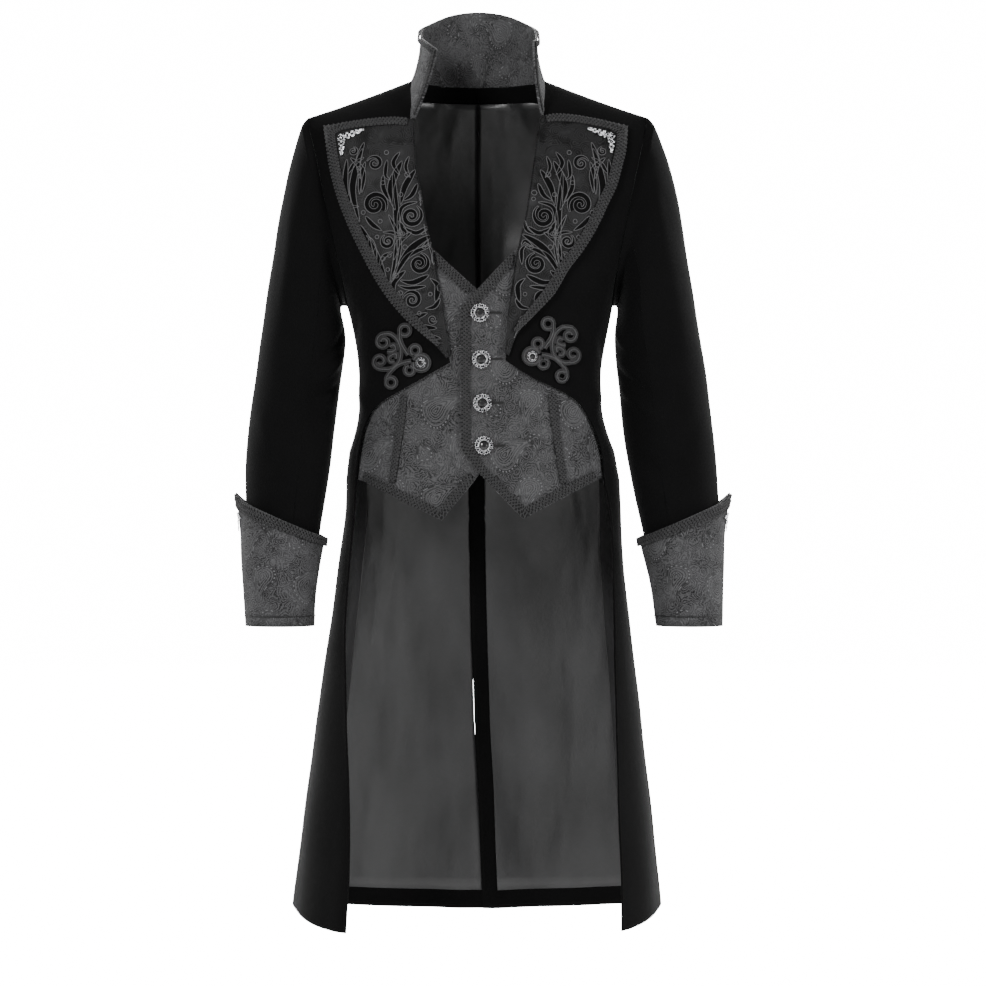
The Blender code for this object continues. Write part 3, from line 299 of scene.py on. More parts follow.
def paisley(look, u, v):
    """Paisley drawing on two lengths: its lines, its light dots, and a mask of the teardrops."""
    column = (u / REPEAT[0]).floor()
    odd = column - (column * 0.5).floor() * 2.0
    drop = v + odd * (REPEAT[1] / 2)
    a = u - (column + 0.5) * REPEAT[0]
    b = drop - ((drop / REPEAT[1]).floor() + 0.5) * REPEAT[1]
    where = look.join(u, v)
    wave = look.noise(where, 11) * 12.0
    grain = look.noise(where, 1.7, detail=1.0)
    inside, rings, dots, band = None, None, None, None
    for centre, turn, radius, length, bend in TEARS:
        field, wide, stretched = tear_field(a, b, centre, turn, radius, length, bend)
        mask = field.under(radius + TEAR_MASK, 0.4)
        core = field.under(radius * TEAR_CORE, 0.3)
        ring = (field + wave * 0.25).waves(2.7) * mask * (0.55 + core * 0.45)
        edge = field.near(radius * TEAR_INNER, 0.55, 0.25).most(field.near(radius + TEAR_OUTER, 0.5, 0.2))
        rim = field.near(radius + TEAR_RIM, 1.7, 0.3)
        angle = look.maths("ARCTAN2", wide, stretched)
        bead = field.near(radius + TEAR_RIM, 0.8, 0.3)
        bead = bead * (angle * round(radius * 1.3)).cos().under(-0.1, 0.3)
        inside = mask if inside is None else inside.most(mask)
        rings = ring.most(edge) if rings is None else rings.most(ring).most(edge)
        band = rim if band is None else band.most(rim)
        dots = bead if dots is None else dots.most(bead)
    swirl = (look.cells(where, 19.0) * 16.0 + wave).waves(2.5)
    lines = rings.most(swirl * (1.0 - inside)) * grain.under(0.58, 0.1)
    return lines.most(band * 0.8), dots, inside


def jacquard_finish(name, mapped=False):
    look = Finish(name, roughness=0.6, specular=0.12, sheen=0.02)
    where = look.cloth_map() if mapped else look.millimetres()
    x, y, z = look.split(where)
    u, v = (x, y) if mapped else (x, z)
    lines, dots, inside = paisley(look, u, v)
    patch = look.noise(where, 30)
    yarn = look.noise(look.join(u * 0.3, v), 0.5)
    shade = patch.under(0.5, 0.07)
    drawn = lines.most(0.0).least(1.0)
    plain = look.colour_mix(yarn * 0.7 + inside * 0.12 + patch * 0.5 - 0.3, *JACQUARD_TONES)
    inked = look.colour_mix(drawn * (0.5 + shade * 0.45), plain, JACQUARD_LINE)
    look.set("Base Color", look.colour_mix(dots * 0.8, inked, JACQUARD_DOT))
    look.bump(yarn * 0.5 - drawn * 1.2 + dots * 1.2, 0.45)
    look.set("Roughness", 0.58 + drawn * 0.2)
    return look.material


def lapel_finish():
    look = Finish("lapel_satin", roughness=0.5, specular=0.1, sheen=0.01)
    where = look.millimetres()
    x, _, z = look.split(where)
    warp = look.noise(where, 14) * 8.0
    swirl = (look.cells(look.join(x + warp, z - warp), 15.0) * 15.0 + warp).waves(2.6)
    patch = look.noise(where, 22, detail=3.0)
    yarn = look.noise(look.join(x * 0.4, z), 0.6)
    broken = swirl * patch.under(0.55, 0.1)
    mottle = broken * 0.9 + patch * 3.4 + yarn * 0.5 - 1.9
    look.set("Base Color", look.colour_mix(mottle, *LAPEL_TONES))
    look.set("Roughness", 0.48 + swirl * 0.2)
    look.bump(broken * 0.6 + yarn * 0.5, 0.25)
    return look.material


def lining_finish():
    look = Finish("lining_satin", roughness=0.34, specular=0.35, sheen=0.03)
    where = look.millimetres()
    x, y, z = look.split(where)
    crease_and_painted_sheen = look.noise(look.join(x, y, z * 0.35), 60, rough=0.4)
    yarn = look.noise(look.join(x * 0.12, y * 0.12, z), 0.5)
    # The streaks that bump the satin's soft creases also lighten their crests and darken their hollows:
    # painted sheen and shade
    look.set("Base Color", look.colour_mix(crease_and_painted_sheen * 1.6 + yarn * 0.2 - 0.4, *LINING_TONES))
    look.set("Roughness", 0.3 + crease_and_painted_sheen * 0.15)
    look.bump(crease_and_painted_sheen * 9.0 + yarn * 0.12, 1.1)
    return look.material


def thread_finish(name, low, high, size=0.5):
    """Twisted thread: the noise that bumps the strands also paints their tops lighter and the hollows between
    them darker, as painted shade.
    """
    look = Finish(name, roughness=0.6, specular=0.22, sheen=0.03)
    where = look.millimetres()
    strand_height_and_shade = look.noise(where, size)
    worn = look.noise(where, 9.0)
    # The strand noise paints the hollows darker and the tops lighter as painted shade; the worn noise varies
    # the tone at random
    look.set("Base Color", look.colour_mix(strand_height_and_shade * 0.75 + worn * 0.5 - 0.12, low, high))
    look.bump(strand_height_and_shade, 0.2)
    return look.material


def metal_finish(name, low, high, roughness):
    look = Finish(name, roughness=roughness, metallic=1.0)
    where = look.millimetres()
    stain = look.noise(where, 2.6, detail=3.0)
    look.set("Base Color", look.colour_mix(stain.under(0.47, 0.12), high, low))
    look.set("Roughness", roughness + stain * 0.2)
    look.bump(look.noise(where, 0.7), 0.08)
    return look.material


def stone_finish():
    look = Finish("dark_stone", roughness=0.06, specular=0.45)
    where = look.millimetres()
    look.set("Base Color", look.colour_mix(look.noise(where, 3.0), *STONE_TONES))
    return look.material


VELVET = velvet_finish()
JACQUARD = jacquard_finish("jacquard")
JACQUARD_ROUND = jacquard_finish("jacquard_round", mapped=True)
LAPEL_SATIN = lapel_finish()
LINING = lining_finish()
BRAID_THREAD = thread_finish("braid_thread", 0.005, 0.030)
BRAID_TAPE = thread_finish("braid_tape", 0.0005, 0.0015)
SCROLL_CORD = thread_finish("scroll_cord", 0.022, 0.066, size=0.7)
# Frog cords: the side cords are painted darker as painted shade, and the middle ridge cord lighter as a
# painted highlight
FROG_CORD_PAINTED_SHADE = thread_finish("frog_cord_painted_shade", 0.004, 0.017, size=0.7)
FROG_RIDGE_PAINTED_HIGHLIGHT = thread_finish("frog_ridge_painted_highlight", 0.016, 0.045, size=0.7)
DARK_STITCH = thread_finish("buttonhole_thread", 0.002, 0.007)
SILVER = metal_finish("old_silver", 0.05, 0.62, roughness=0.24)
BRIGHT_SILVER = metal_finish("bright_silver", 0.14, 0.85, roughness=0.28)
# The button seat is a real backing, but its near-black tone is painted shade that shows between the lace
# lobes
SEAT_METAL_PAINTED_SHADE = metal_finish("seat_metal_painted_shade", 0.004, 0.03, roughness=0.4)
STONE = stone_finish()


# Forms


def welded(*nodes):
    """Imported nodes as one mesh, their doubled corners joined."""
    work = bmesh.new()
    for node in nodes:
        work.from_mesh(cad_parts[node].data)
    bmesh.ops.remove_doubles(work, verts=work.verts, dist=1e-6)
    return work


def merged(node):
    """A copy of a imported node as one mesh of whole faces."""
    work = welded(node)
    bmesh.ops.join_triangles(work, faces=work.faces, angle_face_threshold=math.pi,
                             angle_shape_threshold=math.pi, cmp_seam=False, cmp_sharp=False,
                             cmp_uvs=False, cmp_vcols=False, cmp_materials=False)
    return work


def to_mesh(work, name):
    mesh = bpy.data.meshes.new(name)
    work.to_mesh(mesh)
    work.free()
    return mesh


def points_of(mesh):
    """A mesh's points as rows, in millimetres."""
    points = np.empty(len(mesh.vertices) * 3)
    mesh.vertices.foreach_get("co", points)
    return points.reshape(-1, 3) / MM


def evaluated(item):
    """The object's mesh with its modifiers or bevel worked in, and the object removed."""
    bpy.context.view_layer.update()
    graph = bpy.context.evaluated_depsgraph_get()
    mesh = bpy.data.meshes.new_from_object(item.evaluated_get(graph))
    bpy.data.objects.remove(item, do_unlink=True)
    return mesh


def loose_object(name, data):
    item = bpy.data.objects.new(name, data)
    bpy.context.scene.collection.objects.link(item)
    return item


SHARP = math.radians(52)
SAME_WAY = 0.7
RIM_WIDE = 3.6 * MM
RIM_GROW = 0.7
# A corner that smoothing would draw in by more than this is pinned
MOST_PULL = 1.6


def smoothing_pull(corner, ends):
    """How far smoothing draws a corner of a firm line in, towards the ends of its two edges."""
    return (ends[0] + ends[1] - 2 * corner).length / 6


def firm_edges(work):
    """Keeps a wall's edges and corners firm when it is rounded, and grows its rim to close the seams."""
    layer = work.edges.layers.float.get("crease_edge") or work.edges.layers.float.new("crease_edge")
    sharp = set()
    for edge in work.edges:
        if len(edge.link_faces) == 2 and edge.calc_face_angle(0) > SHARP:
            edge[layer] = 1.0
            sharp.add(edge)
    pins = work.verts.layers.float.new("crease_vert")
    for corner in work.verts:
        ends = [edge.other_vert(corner).co for edge in corner.link_edges if edge in sharp]
        if len(ends) == 2 and smoothing_pull(corner.co, ends) > MOST_PULL * MM:
            corner[pins] = 1.0
    shifts = {}
    for face in work.faces:
        mine = [edge for edge in face.edges if edge in sharp]
        short = min(edge.calc_length() for edge in face.edges)
        if len(mine) >= 2 and short < RIM_WIDE:
            for corner in face.verts:
                shifts.setdefault(corner, []).append(face.normal.copy())
    for corner, normals in shifts.items():
        total = Vector()
        for normal in normals:
            if all(normal.dot(other) < SAME_WAY for other in normals[:normals.index(normal)]):
                total += normal
        corner.co += total * RIM_GROW * MM


SEAM_REACH = 9.0
SEAM_TUCK = 0.7
FACING_DOWN = -0.3


def run_to_neck(work):
    """Carries the collar's lower edge on to the coat's neckline, just inside the panels' walls."""
    neck = Ground("front_left", "front_right", "back_left", "back_right").tree

    def near(corner):
        place, out, _, gap = neck.find_nearest(corner.co)
        return place - out * SEAM_TUCK * MM, gap / MM

    foot = [face for face in work.faces if face.normal.z < FACING_DOWN
            and min(edge.calc_length() for edge in face.edges) < RIM_WIDE
            and all(near(corner)[1] < SEAM_REACH for corner in face.verts)]
    made = bmesh.ops.extrude_face_region(work, geom=foot)["geom"]
    bmesh.ops.delete(work, geom=foot, context="FACES_ONLY")
    for corner in made:
        if isinstance(corner, bmesh.types.BMVert):
            corner.co = near(corner)[0]


def rounded(node, levels):
    """A packed cloth panel as fine, softly rounded cloth."""
    work = merged(node)
    firm_edges(work)
    if node == "collar":
        run_to_neck(work)
    item = loose_object(node + "_fine", to_mesh(work, node + "_fine"))
    finer = item.modifiers.new("finer", "SUBSURF")
    finer.levels = finer.render_levels = levels
    return evaluated(item)


class Piece:
    """One finished piece, gathered from meshes with one or more finishes."""

    def __init__(self, name, slot, *nodes):
        self.name, self.slot, self.nodes = name, slot, nodes
        self.work = bmesh.new()
        self.looks = []

    def add(self, mesh, look, flat=False):
        if look not in self.looks:
            self.looks.append(look)
        start = len(self.work.faces)
        self.work.from_mesh(mesh)
        self.work.faces.ensure_lookup_table()
        for face in self.work.faces[start:]:
            face.material_index = self.looks.index(look)
            face.smooth = not flat
        bpy.data.meshes.remove(mesh)

    def done(self, *fields):
        mesh = to_mesh(self.work, self.name)
        for look in self.looks:
            mesh.materials.append(look)
        points = points_of(mesh)
        for field in fields:
            points = field(points)
        mesh.vertices.foreach_set("co", (points * MM).ravel())
        mesh.update()
        item = loose_object(self.name, mesh)
        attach(item, "root")
        if self.nodes:
            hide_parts(*self.nodes)
        return item


def around(parts):
    """Angles evenly spaced round a circle."""
    return [2 * math.pi * i / parts for i in range(parts)]


def cords(paths, thick, closed=False, sides=1):
    """Round cords along paths of points, as one mesh."""
    line = bpy.data.curves.new("cords", "CURVE")
    line.dimensions = "3D"
    line.bevel_depth = thick / 2 * MM
    line.bevel_resolution = sides
    line.use_fill_caps = True
    for path in paths:
        spline = line.splines.new("POLY")
        spline.points.add(len(path) - 1)
        spline.points.foreach_set("co", [c for point in path for c in (*(point * MM), 1.0)])
        spline.use_cyclic_u = closed
    return evaluated(loose_object("cords", line))


def smooth_line(points, run):
    """Points of a flat route through the given ones, about a run apart."""
    way = [Vector(p) for p in points]
    result = []
    for i in range(len(way) - 1):
        before, start, end, after = way[max(i - 1, 0)], way[i], way[i + 1], way[min(i + 2, len(way) - 1)]
        parts = max(1, round((end - start).length / run))
        for k in range(parts):
            t = k / parts
            result.append(0.5 * ((2 * start) + (end - before) * t
                                 + (2 * before - 5 * start + 4 * end - after) * t * t
                                 + (3 * start - before - 3 * end + after) * t * t * t))
    return result + [way[-1]]


AHEAD_OF_ALL, CHEST_FRONT = -1.0, -0.12


class Ground:
    """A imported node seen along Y: gives the place and the way out over a point (x, z)."""

    def __init__(self, *nodes):
        work = welded(*nodes)
        self.tree = BVHTree.FromBMesh(work)
        work.free()

    def on(self, x, z, lift=0.0):
        start = Vector((x * MM, AHEAD_OF_ALL, z * MM))
        place, out, _, _ = self.tree.ray_cast(start, Vector((0, 1, 0)))
        if place is None:
            place, out, _, _ = self.tree.find_nearest(Vector((x * MM, CHEST_FRONT, z * MM)))
            out = Vector((0, -1, 0))
        return place / MM + out * lift


def middle_of(node):
    """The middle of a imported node's box, in millimetres."""
    low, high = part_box(node)
    return (low + high) / 2 / MM


# Drape: soft creases that all layers of the coat share

TORSO_MM_PER_DEGREE = 2.9
TORSO_FOLDS = (
    # turn and height of one end, turn and height of the other, width, depth
    (72, -150, 61, -264, 9, 1.6), (61, -264, 47, -306, 8, 1.1),
    (-70, -170, -60, -262, 9, 1.4), (-64, -300, -80, -352, 10, -1.2),
    (66, -330, 82, -372, 10, -1.2), (84, -395, 60, -440, 12, 1.2),
    (-84, -392, -62, -436, 12, 1.3), (-96, -430, -150, -404, 13, -1.4),
    (98, -436, 150, -410, 13, -1.4), (118, -300, 158, -352, 14, 1.3),
    (-120, -292, -160, -346, 14, 1.3), (160, -200, 128, -250, 18, -1.2),
    (-162, -196, -130, -244, 18, -1.2),
    (104, -760, 101, -1440, 26, 3.2), (131, -700, 128, -1440, 24, -3.0),
    (152, -720, 150, -1450, 26, 3.2), (-104, -740, -100, -1440, 26, 3.0),
    (-130, -720, -127, -1440, 24, -3.0), (-154, -700, -151, -1450, 26, 3.2),
    (172, -820, 170, -1440, 18, -2.0), (-170, -840, -169, -1440, 18, -2.0),
    (58, -820, 60, -1440, 20, 2.2), (-58, -840, -61, -1440, 20, 2.2),
)

SLEEVE_AXIS = ((-52, 205, 5), (-211, 212, 5), (-302, 221, 4), (-395, 234, 0), (-492, 245, -15),
               (-608, 255, -35), (-701, 257, -46))
SLEEVE_MM_PER_DEGREE = 1.05
SLEEVE_FOLDS = {
    # turn: 0 outward, 90 to the front, 180 to the body
    LEFT: (
        (168, -318, 112, -366, 6, -1.5), (172, -352, 102, -402, 6, 1.8),
        (166, -392, 96, -422, 6, -1.7), (160, -424, 118, -432, 5, 1.4),
        (58, -150, 66, -330, 10, 0.9), (96, -120, 104, -262, 9, -1.0),
        (210, -350, 262, -400, 8, 1.6), (206, -400, 258, -436, 7, -1.6),
        (300, -380, 352, -440, 10, 1.2), (40, -430, 76, -480, 10, 1.1),
        (250, -180, 262, -320, 12, 1.0), (120, -470, 70, -520, 9, 1.1),
    ),
    RIGHT: (
        (166, -326, 118, -352, 6, 1.6), (172, -366, 100, -408, 6, -1.7),
        (164, -398, 98, -436, 6, 1.7), (150, -372, 74, -354, 6, -1.2),
        (74, -120, 66, -236, 9, 1.2), (100, -130, 110, -300, 9, -1.0),
        (206, -344, 256, -396, 8, -1.6), (212, -392, 262, -430, 7, 1.6),
        (304, -372, 350, -430, 10, 1.2), (44, -436, 80, -486, 10, -1.1),
        (246, -190, 262, -330, 12, 1.0), (122, -474, 66, -524, 9, 1.1),
    ),
}


CREASE_GAIN, CREASE_ENDS, CREASE_MIDDLE = 1.6, 0.15, 0.85


def crease_sum(across, up, table, scale):
    """Height of straight soft creases on a flat chart, each strongest at its middle."""
    total = np.zeros(len(across))
    for turn0, z0, turn1, z1, width, depth in table:
        a0, a1 = turn0 * scale, turn1 * scale
        run = np.array((a1 - a0, z1 - z0))
        share = ((across - a0) * run[0] + (up - z0) * run[1]) / (run @ run)
        share = np.clip(share, 0, 1)
        gap = np.hypot(across - a0 - run[0] * share, up - z0 - run[1] * share)
        strength = CREASE_ENDS + CREASE_MIDDLE * np.sin(np.pi * share)
        total += CREASE_GAIN * depth * np.exp(-((gap / width) ** 2)) * strength
    return total


def ripple(points, size, seed):
    at = points / size + seed
    return np.array([noise.noise(Vector(p)) for p in at])


TINY = 1e-9
TORSO_HALF_WIDE, TORSO_HALF_DEEP, TORSO_MIDDLE = 180, 115, 15
# Height, size and seed of the ripples, then the level where the drape starts and the run it grows over
TORSO_RIPPLES, TORSO_FADE = (1.3, 85, 3.1), (-60, 90)
SLEEVE_RIPPLES, SLEEVE_FADE = (1.0, 60, 7.7), (-70, 60)


def calmed(points, amount, bumps, fade):
    """Adds low ripples to the creases, and calms both at the shoulder and the armhole seam."""
    height, size, seed = bumps
    top, run = fade
    amount += height * ripple(points, size, seed)
    amount *= np.clip((top - points[:, 2]) / run, 0, 1)
    return amount * (1 - near_armhole(points))


def pushed(points, out, amount):
    """The points, each moved out on the level by its amount."""
    out /= np.linalg.norm(out, axis=1)[:, None] + TINY
    moved = points.copy()
    moved[:, :2] += out * amount[:, None]
    return moved


def torso_drape(points):
    out = np.stack((points[:, 0] / TORSO_HALF_WIDE**2, (points[:, 1] - TORSO_MIDDLE) / TORSO_HALF_DEEP**2), 1)
    turn = np.degrees(np.arctan2(points[:, 0], TORSO_MIDDLE - points[:, 1]))
    amount = crease_sum(turn * TORSO_MM_PER_DEGREE, points[:, 2], TORSO_FOLDS, TORSO_MM_PER_DEGREE)
    return pushed(points, out, calmed(points, amount, TORSO_RIPPLES, TORSO_FADE))


# An edge of the still strip at the armhole, and how softly it ends
ARMHOLE_INNER, ARMHOLE_OUTER, ARMHOLE_FOOT = (142, 22), (212, 18), (-285, 45)


def near_armhole(points):
    """1 at the armhole seam, falling to 0 a hand's breadth away."""
    across = np.abs(points[:, 0])
    inner = np.clip((across - ARMHOLE_INNER[0]) / ARMHOLE_INNER[1], 0, 1)
    outer = np.clip((ARMHOLE_OUTER[0] - across) / ARMHOLE_OUTER[1], 0, 1)
    return inner * outer * np.clip((points[:, 2] - ARMHOLE_FOOT[0]) / ARMHOLE_FOOT[1], 0, 1)


def sleeve_drape(side):
    height, size, seed = SLEEVE_RIPPLES

    def drape(points):
        heights = [-row[0] for row in SLEEVE_AXIS]
        centre = side * np.interp(-points[:, 2], heights, [row[1] for row in SLEEVE_AXIS])
        middle = np.interp(-points[:, 2], heights, [row[2] for row in SLEEVE_AXIS])
        out = np.stack((points[:, 0] - centre, points[:, 1] - middle), 1)
        turn = np.degrees(np.arctan2(-(points[:, 1] - middle), side * (points[:, 0] - centre))) % 360
        scale = SLEEVE_MM_PER_DEGREE
        amount = crease_sum(turn * scale, points[:, 2], SLEEVE_FOLDS[side], scale)
        return pushed(points, out, calmed(points, amount, (height, size, seed + side), SLEEVE_FADE))

    return drape


# Cloth panels

CLOTHS = (
    # piece, node, finish, slot, levels, drape, cut width, cut length, cut area, held
    ("velvet_front", "front", VELVET, "velvet", 3, "torso", 0.30, 1.12, 0.131, "hung"),
    ("velvet_side", "side", VELVET, "velvet", 2, "torso", 0.095, 0.80, 0.0505, "hung"),
    ("velvet_back", "back", VELVET, "velvet", 2, "torso", 0.30, 1.10, 0.212, "hung"),
    ("satin_front", "front_lining", LINING, "lining_satin", 2, "torso", 0.15, 0.56, 0.055, "hung"),
    ("satin_side", "side_lining", LINING, "lining_satin", 2, "torso", 0.085, 0.77, 0.046, "hung"),
    ("satin_back", "back_lining", LINING, "lining_satin", 2, "torso", 0.27, 1.05, 0.187, "hung"),
    ("lapel_cloth", "lapel", LAPEL_SATIN, "lapel_satin", 2, "torso", 0.16, 0.32, 0.028, "folded"),
    ("jacquard_front", "waistcoat_front", JACQUARD, "jacquard", 2, "torso", 0.13, 0.39, 0.035, "hung"),
    ("jacquard_side", "waistcoat_side", JACQUARD, "jacquard", 2, "torso", 0.085, 0.215, 0.0148, "hung"),
    ("velvet_top_sleeve", "top_sleeve", VELVET, "velvet", 3, "sleeve", 0.24, 0.66, 0.111, "hung"),
    ("velvet_under_sleeve", "under_sleeve", VELVET, "velvet", 3, "sleeve", 0.19, 0.57, 0.084, "hung"),
    ("cuff_cloth", "cuff", JACQUARD_ROUND, "jacquard", 2, "sleeve", 0.36, 0.17, 0.044, "folded"),
)


CUFF_RADIUS = 54
COLLAR_MIDDLE, COLLAR_RADIUS = (0, 10), 78


def round_map(mesh, centre, radius, start):
    """The cloth's own map on a tube: the way round it and the height, in millimetres."""
    layer = mesh.uv_layers.new(name=CLOTH_MAP)
    points = points_of(mesh)
    turn = (np.arctan2(points[:, 1] - centre[1], points[:, 0] - centre[0]) - start) % (2 * math.pi)
    corners = np.empty(len(mesh.loops), int)
    mesh.loops.foreach_get("vertex_index", corners)
    flat = np.stack((turn * radius, points[:, 2]), 1)[corners]
    layer.data.foreach_set("uv", flat.ravel())


HEM_ROLL = 12.5
HEM_DEPTH, HEM_SWELL, HEM_PRESS = 0.9, 4.5, 1.5


def cuff_roll(middle, foot):
    """Presses the line above the cuff's turned hem and fills the turn out."""

    def roll(points):
        above = points[:, 2] - foot
        swell = HEM_DEPTH * np.exp(-(((above - HEM_ROLL / 2) / HEM_SWELL) ** 2))
        press = HEM_DEPTH * np.exp(-(((above - HEM_ROLL) / HEM_PRESS) ** 2))
        return pushed(points, points[:, :2] - (middle.x, middle.y), swell - press)

    return roll


def make_cloths():
    for side, word in SIDES.items():
        drapes = {"torso": (torso_drape,), "sleeve": (sleeve_drape(side),)}
        for piece, node, look, slot, levels, drape, wide, long, area, held in CLOTHS:
            name = f"{node}_{word}"
            made = Piece(f"{piece}_{word}", slot, name)
            mesh = rounded(name, levels)
            fields = drapes[drape]
            if node == "cuff":
                middle = middle_of(name)
                round_map(mesh, middle, CUFF_RADIUS, 0.0 if side == RIGHT else math.pi)
                fields += (cuff_roll(middle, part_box(name)[0].z / MM),)
            made.add(mesh, look)
            item = made.done(*fields)
    made = Piece("collar_cloth", "jacquard", "collar")
    mesh = rounded("collar", 2)
    round_map(mesh, COLLAR_MIDDLE, COLLAR_RADIUS, -math.pi / 2)
    made.add(mesh, JACQUARD_ROUND)
    made.done()


# Braids

FIRM = math.radians(60)
# Stands for the angle of an edge without two faces
FREE_EDGE = 9.0


def facing(edge, face):
    """The edge of a four-sided face that shares no corner with the given one."""
    return next((e for e in face.edges if not set(e.verts) & set(edge.verts)), None)


def ladder(node, outward):
    """A trim's top face as rungs from end to end: pairs of points, and the way out at each."""
    work = merged(node)

    def strip_from(face, edge):
        steps, seen = [(None, edge)], set()
        while face and face not in seen and len(face.verts) == 4:
            seen.add(face)
            edge = facing(edge, face)
            if edge is None:
                break
            steps.append((face, edge))
            onward = [f for f in edge.link_faces if f not in seen]
            face = onward[0] if onward and edge.calc_face_angle(FREE_EDGE) < FIRM else None
        return steps

    best, best_score = None, 0.0
    for face in work.faces:
        for edge in face.edges:
            if len(face.verts) == 4 and edge.calc_face_angle(FREE_EDGE) >= FIRM:
                steps = strip_from(face, edge)
                score = sum(f.calc_area() * f.normal.dot(outward(f.calc_center_median() / MM))
                            for f, _ in steps[1:])
                if score > best_score:
                    best, best_score = steps, score
    pairs = [tuple(best[0][1].verts)]
    for face, edge in best[1:]:
        pair = tuple(edge.verts)
        if not any(set(e.verts) == {pairs[-1][0], pair[0]} for e in face.edges):
            pair = pair[::-1]
        pairs.append(pair)
    normals = [face.normal for face, _ in best[1:]]
    ways = [(a + b).normalized() for a, b in zip(normals[:1] + normals, normals + normals[-1:])]
    result = [(a.co / MM, b.co / MM, way) for (a, b), way in zip(pairs, ways)]
    work.free()
    return result


CORNER = math.radians(28)
RUNG_GAP = 1.0


def spaced(rungs, run):
    """The rungs again, closer and evenly spaced, smooth but for their sharp corners."""
    middles = [(a + b) / 2 for a, b, _ in rungs]
    lines = (middles, [a for a, _, _ in rungs], [b for _, b, _ in rungs])
    count = len(rungs)

    def slope(i, ahead):
        if 0 < i < count - 1 and all((line[i] - line[i - 1]).angle(line[i + 1] - line[i], math.pi) < CORNER
                                     for line in lines):
            length = (middles[i] - middles[i - 1]).length + (middles[i + 1] - middles[i]).length
            return [(rungs[i + 1][k] - rungs[i - 1][k]) / length for k in (0, 1)]
        j = min(max(i if ahead else i - 1, 0), count - 2)
        length = (middles[j + 1] - middles[j]).length
        return [(rungs[j + 1][k] - rungs[j][k]) / length for k in (0, 1)]

    fine = []
    for i in range(count - 1):
        length = (middles[i + 1] - middles[i]).length
        parts = max(1, round(length / run))
        start, end = slope(i, True), slope(i + 1, False)
        for step in range(parts + (i == count - 2)):
            t = step / parts
            h00, h10 = 2 * t**3 - 3 * t**2 + 1, t**3 - 2 * t**2 + t
            h01, h11 = 3 * t**2 - 2 * t**3, t**3 - t**2
            pair = [rungs[i][k] * h00 + start[k] * length * h10 + rungs[i + 1][k] * h01
                    + end[k] * length * h11 for k in (0, 1)]
            fine.append((*pair, rungs[i][2].lerp(rungs[i + 1][2], t).normalized()))
    return fine


class Band:
    """A trim's top as a strip of known length, read at a place along it, across it and above it."""

    def __init__(self, node, outward):
        self.rungs = spaced(ladder(node, outward), RUNG_GAP)
        self.lengths = [0.0]
        middles = [(a + b) / 2 for a, b, _ in self.rungs]
        for a, b in zip(middles, middles[1:]):
            self.lengths.append(self.lengths[-1] + (b - a).length)
        self.length = self.lengths[-1]

    def step_at(self, along):
        return min(max(int(np.searchsorted(self.lengths, along)) - 1, 0), len(self.rungs) - 2)

    def at(self, along, share, lift):
        along = min(max(along, 0.0), self.length)
        place = self.step_at(along)
        t = (along - self.lengths[place]) / max(self.lengths[place + 1] - self.lengths[place], 1e-6)
        (a0, b0, n0), (a1, b1, n1) = self.rungs[place], self.rungs[place + 1]
        a, b = a0.lerp(a1, t), b0.lerp(b1, t)
        return a.lerp(b, share) + n0.lerp(n1, t).normalized() * lift

    def calm(self, along):
        """How little the longer edge turns here: 1 on a straight run, near 0 round a corner."""
        place = self.step_at(along)
        step = self.lengths[place + 1] - self.lengths[place]
        edges = [(self.rungs[place + 1][k] - self.rungs[place][k]).length for k in (0, 1)]
        return min(1.0, (step / max(edges)) ** 2)

    def width(self, along):
        return (self.at(along, 0, 0) - self.at(along, 1, 0)).length


LOOP_PITCH = 4.9
LOOP_POINTS = 16
LOOP_SWELL, LOOP_OVER = 0.42, 0.35
LOOP_CORD, LOOP_INSET, LOOP_LIFT = 1.3, 1.2, -0.1


def looped(band, pitch, low, high, thick, lift, start):
    """One cord that runs from edge to edge of a band and turns in a small loop at each."""
    turns = max(3, round(band.length / pitch))
    pitch = band.length / turns
    path = []
    for i in range(turns * LOOP_POINTS + 1):
        t = i / LOOP_POINTS
        along = pitch * (t - LOOP_SWELL * band.calm(pitch * t) * math.sin(4 * math.pi * t + start))
        wide = band.width(along)
        edge = thick / 2 / wide
        share = (low + edge) + (high - low - 2 * edge) * (0.5 + 0.5 * math.cos(2 * math.pi * t + start / 2))
        over = LOOP_OVER * math.sin(6 * math.pi * t + start)
        path.append(band.at(along, share, lift + over))
    return path


def from_axis(x, y):
    return lambda p: Vector((p.x - x, p.y - y, 0)).normalized()


def from_cuff(word):
    middle = middle_of(f"cuff_{word}")
    return from_axis(middle.x, middle.y)


def forward(_):
    return Vector((0, -1, 0))


TAPE_DEEP, TAPE_SINK = -0.8, 0.7


def braid(name, node, outward, columns, drapes):
    """A looped braid: a dark tape under cords that loop along its edges."""
    band = Band(node, outward)
    made = Piece(name, "braid", node)
    tape = merged(node)
    for corner in tape.verts:
        near = min(band.rungs, key=lambda r: ((r[0] + r[1]) / 2 - corner.co / MM).length_squared)
        above = (corner.co / MM - (near[0] + near[1]) / 2).dot(near[2])
        if above > TAPE_DEEP:
            corner.co -= near[2] * TAPE_SINK * MM
    made.add(to_mesh(tape, "tape"), BRAID_TAPE)
    paths = [looped(band, LOOP_PITCH, low, high, LOOP_INSET, LOOP_LIFT, start)
             for low, high, start in columns]
    made.add(cords(paths, LOOP_CORD), BRAID_THREAD)
    made.done(*drapes)


# Low and high share of the width, and where the loops start
WIDE_COLUMNS = ((-0.04, 0.53, 0.0), (0.47, 1.04, 1.6))
SLIM_COLUMNS = ((-0.03, 0.54, 0.0), (0.46, 1.03, 1.6))
COLLAR_AXIS = (0, 8)
HEM_POINTS, HEM_THREAD, HEM_LIFT = 120, 1.3, 0.1
CLEAR_OF_CUFF = 0.2


